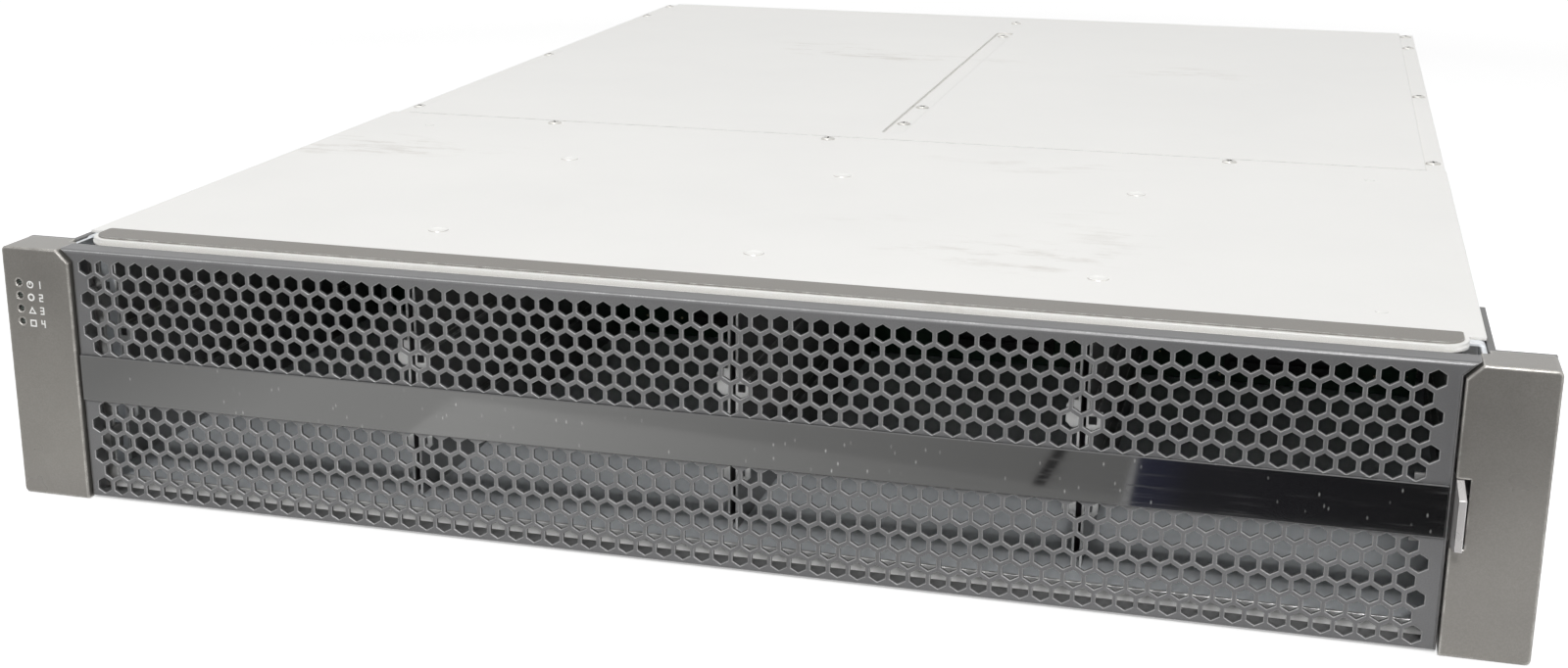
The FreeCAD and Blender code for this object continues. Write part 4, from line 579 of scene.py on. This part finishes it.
def cover_screw_pieces():
    """The screws of the top covers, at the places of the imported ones."""
    node = frame["nodes"]["cover_screws"]
    groups = {}
    for vert in node.data.vertices:
        co = vert.co / MM
        key = min(groups, key=lambda g: (g[0] - co.x) ** 2 + (g[1] - co.y) ** 2, default=None)
        if key is None or math.hypot(key[0] - co.x, key[1] - co.y) > SCREW_SPACING:
            key = (co.x, co.y)
            groups[key] = []
        groups[key].append(co)
    bm = bmesh.new()
    for points in groups.values():
        x = (min(p.x for p in points) + max(p.x for p in points)) / 2
        y = (min(p.y for p in points) + max(p.y for p in points)) / 2 + ORIGIN_Y
        screw_head(bm, x, y, min(p.z for p in points))
    piece = new_piece("cover_screw_heads", bm, [looks["screw_steel"], recess_shade_and_print_dark], "chassis", True)
    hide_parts("cover_screws")


COVER_TOP = 87.5
RING_PLACES = [(x, y) for x in (-111.0, 0.0, 111.0) for y in (57.0, 181.0)]
RING_PROFILE = ((3.5, 0.0), (3.3, 0.3), (2.8, 0.4), (2.3, 0.2), (1.8, 0.06))
MARK_PLACES = [(195.0, 43.0), (194.0, 231.0), (-194.0, 231.0)]
MARK_PROFILE = ((1.9, 0.0), (1.8, 0.12), (1.2, 0.14))


def cover_dimples():
    """Pressed rings over the divider rows, and small flush marks near the side edges; the outer slope of each takes
    the darker screw steel as painted shade.
    """
    bm = bmesh.new()
    for places, profile in ((RING_PLACES, RING_PROFILE), (MARK_PLACES, MARK_PROFILE)):
        for x, y in places:
            # The outer slope takes the darker screw steel: painted shade
            turned(bm, (x, y, COVER_TOP), profile[:2], material=SECOND, close_last=False)
            turned(bm, (x, y, COVER_TOP), profile[1:])
    bmesh.ops.remove_doubles(bm, verts=bm.verts, dist=WELD)
    new_piece("cover_dimples", bm, [looks["cover_sheet"], looks["screw_steel"]], "chassis", True)


# Signs, numerals and lamps

NUMERAL_WIDTH = 1.5
NUMERAL_HALF_HEIGHT = 1.3
STROKE = 0.42
SIGN_SIDES = 28
# From the middle of a sign to the left of its numeral
NUMERAL_OFFSET = 3.0


def bars(cells):
    """Outlines of plain upright boxes, given as left, right, low and high."""
    return [([(a, c), (b, c), (b, d), (a, d)], []) for a, b, c, d in cells]


def numeral(count, left, z):
    """A plain numeral from one to four in straight strokes."""
    wide, high, thick = NUMERAL_WIDTH, NUMERAL_HALF_HEIGHT, STROKE
    right = left + wide
    level = {"top": (left, right, z + high - thick, z + high), "mid": (left, right, z - thick / 2, z + thick / 2),
             "low": (left, right, z - high, z - high + thick)}
    upper, lower = (z + thick / 2, z + high - thick), (z - high + thick, z - thick / 2)
    if count == 1:
        return bars([(left + wide / 2 - thick / 2, left + wide / 2 + thick / 2, z - high, z + high)])
    if count == 2:
        return bars([*level.values(), (right - thick, right, *upper), (left, left + thick, *lower)])
    if count == 3:
        return bars([*level.values(), (right - thick, right, *upper), (right - thick, right, *lower)])
    return bars([level["mid"], (left, left + thick, upper[0], z + high), (right - thick, right, upper[0], z + high),
                 (right - thick, right, z - high, lower[1])])


def triangle_outline(u, z, half, low, high):
    return [(u - half, z + low), (u + half, z + low), (u, z + high)]


def square(u, z, half):
    return [(u - half, z - half), (u + half, z - half), (u + half, z + half), (u - half, z + half)]


def sign_shapes(count, u, z):
    """A plain sign for each lamp: a switch mark, a ring, a triangle and a square, each with its numeral."""
    if count == 1:
        shapes = [(circle(u, z - 0.1, 1.25, SIGN_SIDES), [circle(u, z - 0.1, 0.85, SIGN_SIDES)])]
        shapes += bars([(u - 0.2, u + 0.2, z - 0.1, z + 0.72)])
    elif count == 2:
        shapes = [(circle(u, z, 1.3, SIGN_SIDES), [circle(u, z, 0.75, SIGN_SIDES)])]
    elif count == 3:
        shapes = [(triangle_outline(u, z, 1.45, -1.2, 1.35), [triangle_outline(u, z, 0.75, -0.8, 0.5)])]
    else:
        shapes = [(square(u, z, 1.2), [square(u, z, 0.75)])]
    return shapes + numeral(count, u + NUMERAL_OFFSET, z)


# Shares of a lens's radius, and how far they stand out
DOME_PROFILE = ((1, 0.0), (0.86, 0.26), (0.5, 0.38), (0.15, 0.4))
LENS_SIDES = 20
PRINT_THICKNESS = 0.04


def lens(bm, place, radius, root):
    """A lamp's lens: a short rod from the depth of its root to a low dome. place takes across, up and out."""
    last = None
    for share, out in ((1, -root), *DOME_PROFILE):
        ring = [bm.verts.new(place(u, v, out)) for u, v in circle(0, 0, radius * share, LENS_SIDES)]
        if last:
            ring_faces(bm, last, ring)
        else:
            bm.faces.new(ring)
        last = ring
    bm.faces.new(last)


def printed(bm, shapes, place):
    """Outlines as a thin layer of print on a face."""
    for outer, holes in shapes:
        flat, triangles, loops = triangulate(outer, holes)
        top = [bm.verts.new(place(u, v, PRINT_THICKNESS)) for u, v in flat]
        under = [bm.verts.new(place(u, v, 0.0)) for u, v in flat]
        for triangle in triangles:
            bm.faces.new([top[i] for i in triangle])
            bm.faces.new([under[i] for i in reversed(triangle)])
        for loop in loops:
            ring_faces(bm, [top[i] for i in loop], [under[i] for i in loop])


INDICATOR_COUNT = 4
LENS_FACE = 1.0
LENS_ROOT = 6.0
SIGN_OFFSET = (4.2, -0.4)


def indicator_pieces():
    """Lenses behind the ear cover's holes, and a plain sign beside each."""
    low, high = (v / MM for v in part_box("indicator_lenses"))
    x = (low.x + high.x) / 2
    radius = (high.x - low.x) / 2
    pitch = (high.z - low.z - 2 * radius) / (INDICATOR_COUNT - 1)
    heights = [high.z - radius - pitch * k for k in range(INDICATOR_COUNT)]
    bm = bmesh.new()
    for z in heights:
        lens(bm, lambda u, v, out: at(x + u, LENS_FACE - out, z + v), radius, LENS_ROOT)
    piece = new_piece("indicator_domes", bm, looks["lens_clear"], "chassis", True)
    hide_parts("indicator_lenses")
    bm = bmesh.new()
    for k, z in enumerate(heights):
        shapes = sign_shapes(k + 1, x + SIGN_OFFSET[0], z + SIGN_OFFSET[1])
        printed(bm, shapes, lambda u, v, out: at(u, -out, v))
    new_piece("indicator_signs", bm, sign_white, "chassis")


# The rear: lamps, signs, fan screws and what is inside the ports

REAR = 648.0
LAMP_RADIUS = 1.1
LAMP_STAND = 0.35
# From the middle of a lamp to the left of its numeral
LAMP_NUMERAL_OFFSET = 2.6
PORT_LAMP_LIFT = 7.0
SUPPLY_LAMP_GAP = 12.0
SUPPLY_LAMP_HEIGHTS = (74.0, 66.0)
FAN_SCREW_REACH = 15.8
# Inside the ports: gaps and depths from the walls, the back and the mouth
PORT_BACK_GAP = 0.5
INSERT_EASE = 0.3
INSERT_DEPTH = 8.0
INSERT_SIDE_GAP = 0.6
INSERT_TOP_GAP = 0.4
CONTACT_PITCH = 1.1
WIRE_COUNT = 8
WIRE_HALF = 0.22
WIRE_MOUTH_GAP = 5.0
TONGUE_HALF = 0.9
TONGUE_SIDE_GAP = 2.0
TONGUE_MOUTH_GAP = 6.0
STRIP_COUNT = 13
STRIP_HALF = 0.3
# From the tongue's end, to the near and the far end of a strip
STRIP_ENDS = (0.6, 7.0)
STRIP_LEVELS = (-0.96, 0.84)
STRIP_THICKNESS = 0.12
STRIP_EASE = 0.03


def on_rear(x, z):
    """Places across, up and out on a rear face, as someone behind the object sees it."""
    return lambda u, v, out: at(x - u, REAR + out, z + v)


def rear_lamps(name, places, body):
    """A row of lamps, each with its numeral, from 1 on."""
    domes, signs = bmesh.new(), bmesh.new()
    for k, (x, z) in enumerate(places):
        place = on_rear(x, z)
        lens(domes, lambda u, v, out: place(u, v, out + LAMP_STAND), LAMP_RADIUS, LAMP_STAND)
        printed(signs, numeral(k + 1, LAMP_NUMERAL_OFFSET, 0), place)
    new_piece(name + "_lamps", domes, looks["lens_clear"], body, True)
    new_piece(name + "_numerals", signs, recess_shade_and_print_dark, body)


def fan_screws(side):
    """Four screws at the corners of the fan, in the face plate."""
    low, high = (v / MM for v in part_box("psu_%s_fan_frame" % side))
    cx, cz = (low.x + high.x) / 2, (low.z + high.z) / 2
    bm = bmesh.new()
    for u in (-FAN_SCREW_REACH, FAN_SCREW_REACH):
        for v in (-FAN_SCREW_REACH, FAN_SCREW_REACH):
            head = bmesh.new()
            screw_head(head, 0, ORIGIN_Y, 0)
            head.transform(Matrix.Translation(at(cx + u, REAR, cz + v)) @ Matrix.Rotation(-math.pi / 2, 4, "X"))
            lump = bpy.data.meshes.new("screw")
            head.to_mesh(lump)
            head.free()
            bm.from_mesh(lump)
            bpy.data.meshes.remove(lump)
    metals = [looks["screw_steel"], recess_shade_and_print_dark]
    new_piece("psu_%s_fan_screws" % side, bm, metals, "psu_" + side, True)


def across(middle, count):
    """The places of a row of contacts."""
    return [middle + (k - (count - 1) / 2) * CONTACT_PITCH for k in range(count)]


def port_insides(side, ports):
    """A tongue with gilt strips in each data port, and an insert with sprung wires in the network port."""
    tongues, strips = bmesh.new(), bmesh.new()
    for name, low, high in ports:
        cx, cz = (low.x + high.x) / 2, (low.z + high.z) / 2
        back, mouth = low.y + ORIGIN_Y + PORT_BACK_GAP, high.y + ORIGIN_Y
        if name.startswith("net"):
            end = back + INSERT_DEPTH
            block(tongues, (low.x + INSERT_SIDE_GAP, back, low.z + INSERT_TOP_GAP),
                  (high.x - INSERT_SIDE_GAP, end, high.z - INSERT_TOP_GAP), INSERT_EASE)
            wire = [(mouth - WIRE_MOUTH_GAP, high.z - 0.9), (mouth - WIRE_MOUTH_GAP, high.z - 0.5),
                    (end, cz + 0.5), (end, cz + 0.1)]
            for x in across(cx, WIRE_COUNT):
                ends = [[strips.verts.new(at(x + s * WIRE_HALF, y, z)) for y, z in wire] for s in (-1, 1)]
                ring_faces(strips, *ends)
                strips.faces.new(ends[0])
                strips.faces.new(ends[1])
        else:
            end = mouth - TONGUE_MOUTH_GAP
            half = (high.x - low.x) / 2 - TONGUE_SIDE_GAP
            block(tongues, (cx - half, back, cz - TONGUE_HALF), (cx + half, end, cz + TONGUE_HALF), INSERT_EASE)
            for x in across(cx, STRIP_COUNT):
                for z in (cz + STRIP_LEVELS[0], cz + STRIP_LEVELS[1]):
                    block(strips, (x - STRIP_HALF, end - STRIP_ENDS[1], z),
                          (x + STRIP_HALF, end - STRIP_ENDS[0], z + STRIP_THICKNESS), STRIP_EASE)
    new_piece("io_%s_tongues" % side, tongues, looks["connector_black"], "io_" + side)
    new_piece("io_%s_contacts" % side, strips, gilt, "io_" + side)


def rear_details():
    """What the face plates of the four modules carry."""
    for side in ("left", "right"):
        ports = []
        for opening in frame["record"]["physics"]["openings"]:
            if "port_" + side in opening["name"]:
                low, high = (Vector(corner) / MM for corner in opening["box_m"])
                ports.append((opening["name"], low, high))
        port_insides(side, ports)
        above = [((low.x + high.x) / 2, high.z + PORT_LAMP_LIFT) for _, low, high in ports]
        rear_lamps("io_%s" % side, above, "io_" + side)
        handle_end = (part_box("psu_%s_handle" % side)[1] / MM).x
        beside = [(handle_end + SUPPLY_LAMP_GAP, z) for z in SUPPLY_LAMP_HEIGHTS]
        rear_lamps("psu_%s" % side, beside, "psu_" + side)
        fan_screws(side)


bezel_piece()
band_piece()
cover_screw_pieces()
cover_dimples()
indicator_pieces()
rear_details()


# Stage, light and camera

FLOOR_HALF = 6.0
# The floor's glow where the camera sees it, and the distances from the object's middle between which it grows.
# Reflections see it with the mirrored glow.
FLOOR_GLOW = (0.45, 1.0)
FLOOR_GLOW_REACH = (0.9, 2.6)
FLOOR_MIRRORED_GLOW = 0.25


def staged_plane(name, corners, material):
    mesh = bpy.data.meshes.new(name)
    mesh.from_pydata([tuple(c) for c in corners], [], [tuple(range(len(corners)))])
    made = bpy.data.objects.new(name, mesh)
    bpy.context.scene.collection.objects.link(made)
    mesh.materials.append(material)
    return made


def floor_material():
    """Near white paper that keeps the shadow, and looks white where it is seen or mirrored."""
    s = Shader("floor_paper")
    base = s.mix(s.noise(3.0), (0.86, 0.86, 0.86), (0.88, 0.88, 0.88))
    s.link(base, s.bsdf.inputs["Base Color"])
    s.bsdf.inputs["Roughness"].default_value = 0.9
    s.bsdf.inputs["Specular IOR Level"].default_value = 0.1
    path = s.node("ShaderNodeLightPath")
    away = s.node("ShaderNodeVectorMath", operation="LENGTH")
    s.link(s.coords, away.inputs[0])
    glow = s.spread(away.outputs["Value"], *FLOOR_GLOW_REACH, *FLOOR_GLOW)
    seen = s.maths("MULTIPLY", glow, path.outputs["Is Camera Ray"])
    mirrored = s.spread(path.outputs["Is Glossy Ray"], 0.0, 1.0, 0.0, FLOOR_MIRRORED_GLOW)
    s.bsdf.inputs["Emission Color"].default_value = (1, 1, 1, 1)
    s.link(s.maths("ADD", seen, mirrored), s.bsdf.inputs["Emission Strength"])
    return s.material


floor_corners = [(sx * FLOOR_HALF, sy * FLOOR_HALF, 0) for sx, sy in ((-1, -1), (1, -1), (1, 1), (-1, 1))]
staged_plane("floor", floor_corners, floor_material())

# The steps of a painted reflection card's glow lie between these places across, in millimetres
CARD_REACH = 300.0


def painted_reflection_glow(name, steps, gain=1.0):
    """A painted reflection for the glossy band to mirror: a glow that changes across the stage."""
    made = bpy.data.materials.new(name)
    made.use_nodes = True
    tree = made.node_tree
    tree.nodes.clear()
    coords = tree.nodes.new("ShaderNodeTexCoord")
    split = tree.nodes.new("ShaderNodeSeparateXYZ")
    tree.links.new(coords.outputs["Object"], split.inputs[0])
    place = tree.nodes.new("ShaderNodeMapRange")
    place.inputs["From Min"].default_value = -CARD_REACH * MM
    place.inputs["From Max"].default_value = CARD_REACH * MM
    tree.links.new(split.outputs["X"], place.inputs["Value"])
    ramp = tree.nodes.new("ShaderNodeValToRGB")
    while len(ramp.color_ramp.elements) < len(steps):
        ramp.color_ramp.elements.new(0.5)
    for element, (x, colour) in zip(ramp.color_ramp.elements, steps):
        element.position = (x + CARD_REACH) / (2 * CARD_REACH)
        element.color = (*colour, 1)
    tree.links.new(place.outputs["Result"], ramp.inputs["Fac"])
    glow = tree.nodes.new("ShaderNodeEmission")
    glow.inputs["Strength"].default_value = gain
    tree.links.new(ramp.outputs["Color"], glow.inputs["Color"])
    out = tree.nodes.new("ShaderNodeOutputMaterial")
    tree.links.new(glow.outputs[0], out.inputs["Surface"])
    return made


def grey(value):
    return (value, value, value * 0.98)


# Places across in millimetres, and the painted reflection glow there
PAINTED_PAPER_REFLECTION_STEPS = ((-290, grey(0.85)), (-205, grey(1.22)), (-123, grey(1.18)), (-8, grey(0.8)), (65, grey(0.63)),
               (119, grey(0.55)))
PAINTED_DARK_REFLECTION_STEPS = ((119, (0.06, 0.07, 0.15)), (131, (0.06, 0.065, 0.12)), (140, (0.04, 0.04, 0.05)), (230, grey(0.02)))
PAINTED_STRIPE_REFLECTION_STEPS = ((0, grey(0.03)), (290, grey(0.03)))
PAINTED_ROOM_REFLECTION_STEPS = ((-290, grey(0.2)), (290, grey(0.2)))
NEAR_GAIN = 1.25


def painted_reflection_card(name, plan, height, material):
    """A glowing card that only reflections show, a painted reflection standing for the things around the camera."""
    made = staged_plane(name, [at(x, y, height) for x, y in plan], material)
    made.visible_camera = False
    made.visible_diffuse = False
    made.visible_shadow = False
    made.visible_transmission = False


# Glowing cards seen only in reflections: painted reflections on the glossy band, the bezel and the ears
painted_reflection_card("painted_reflection_paper", [(-420, -300), (119, -300), (119, -20), (-420, -20)], 1,
            painted_reflection_glow("painted_reflection_paper", PAINTED_PAPER_REFLECTION_STEPS))
painted_reflection_card("painted_reflection_far", [(-1500, -1600), (1500, -1600), (1500, -301), (-1500, -301)], 1,
            painted_reflection_glow("painted_reflection_far", PAINTED_ROOM_REFLECTION_STEPS))
painted_reflection_card("painted_reflection_near", [(-140, -128), (119, -94), (119, -40), (-140, -40)], 2,
            painted_reflection_glow("painted_reflection_near", PAINTED_PAPER_REFLECTION_STEPS, NEAR_GAIN))
painted_reflection_card("painted_reflection_stripe", [(92.5, -146), (96.8, -146), (92.6, -94), (88.3, -94)], 3,
            painted_reflection_glow("painted_reflection_stripe", PAINTED_STRIPE_REFLECTION_STEPS))
painted_reflection_card("painted_reflection_dark", [(117, -300), (420, -300), (420, -190), (231, -150), (231, -84), (122, -84)], 2,
            painted_reflection_glow("painted_reflection_dark", PAINTED_DARK_REFLECTION_STEPS))
painted_reflection_card("painted_reflection_left", [(-900, -301), (-390, -301), (-330, -170), (-900, -170)], 2,
            painted_reflection_glow("painted_reflection_left", PAINTED_ROOM_REFLECTION_STEPS))

# The world's strength on the object, and where it is seen or mirrored
WORLD_FILL = 0.25
WORLD_SEEN = 1.0
world = bpy.data.worlds.new("studio")
bpy.context.scene.world = world
world.use_nodes = True
nodes, links = world.node_tree.nodes, world.node_tree.links
sky = nodes["Background"]
sky.inputs["Color"].default_value = (1, 1, 1, 1)
path = nodes.new("ShaderNodeLightPath")
seen = nodes.new("ShaderNodeMath")
seen.operation = "MAXIMUM"
strength = nodes.new("ShaderNodeMapRange")
strength.inputs["To Min"].default_value = WORLD_FILL
strength.inputs["To Max"].default_value = WORLD_SEEN
links.new(path.outputs["Is Camera Ray"], seen.inputs[0])
links.new(path.outputs["Is Glossy Ray"], seen.inputs[1])
links.new(seen.outputs[0], strength.inputs["Value"])
links.new(strength.outputs["Result"], sky.inputs["Strength"])


def softbox(name, place, target, size, watts):
    light = bpy.data.lights.new(name, "AREA")
    light.shape = "RECTANGLE"
    light.size, light.size_y = size
    light.energy = watts
    lamp = bpy.data.objects.new(name, light)
    bpy.context.scene.collection.objects.link(lamp)
    lamp.location = place
    lamp.rotation_euler = (Vector(target) - Vector(place)).to_track_quat("-Z", "Y").to_euler()


softbox("front", (0.3, -2.45, 2.05), (0, -0.3, 0.04), (0.5, 0.35), 52)
softbox("above", (-0.6, 0.3, 2.4), (0, 0, 0), (1.8, 1.8), 11)
softbox("side", (2.2, -0.8, 1.2), (0, 0, 0), (1.2, 1.2), 7)

# The camera that was fitted to the photograph: turns in radians, its place in millimetres as for at()
YAW, PITCH, ROLL = -0.2696, 0.2752, 0.0048
CAMERA_PLACE = (170.5, -547.74, 248.67)
SENSOR_WIDTH = 36.0
FOCAL_PIXELS = 2040.5
CENTRE_PIXELS = (779.3, 307.7)
IMAGE = (1600, 682)
ahead = Vector((math.sin(YAW) * math.cos(PITCH), math.cos(YAW) * math.cos(PITCH), -math.sin(PITCH)))
right = Vector((math.cos(YAW), -math.sin(YAW), 0))
up = right.cross(ahead)
right, up = math.cos(ROLL) * right + math.sin(ROLL) * up, -math.sin(ROLL) * right + math.cos(ROLL) * up
camera = bpy.data.objects.new("camera", bpy.data.cameras.new("camera"))
bpy.context.scene.collection.objects.link(camera)
camera.data.sensor_width = SENSOR_WIDTH
camera.data.sensor_fit = "HORIZONTAL"
camera.data.lens = FOCAL_PIXELS * SENSOR_WIDTH / IMAGE[0]
camera.data.shift_x = (IMAGE[0] / 2 - CENTRE_PIXELS[0]) / IMAGE[0]
camera.data.shift_y = (CENTRE_PIXELS[1] - IMAGE[1] / 2) / IMAGE[0]
camera.data.clip_start = 0.01
turn = Matrix((right, up, -ahead)).transposed().to_4x4()
camera.matrix_world = Matrix.Translation(at(*CAMERA_PLACE)) @ turn
bpy.context.scene.camera = camera
bpy.context.scene.view_settings.view_transform = "Standard"
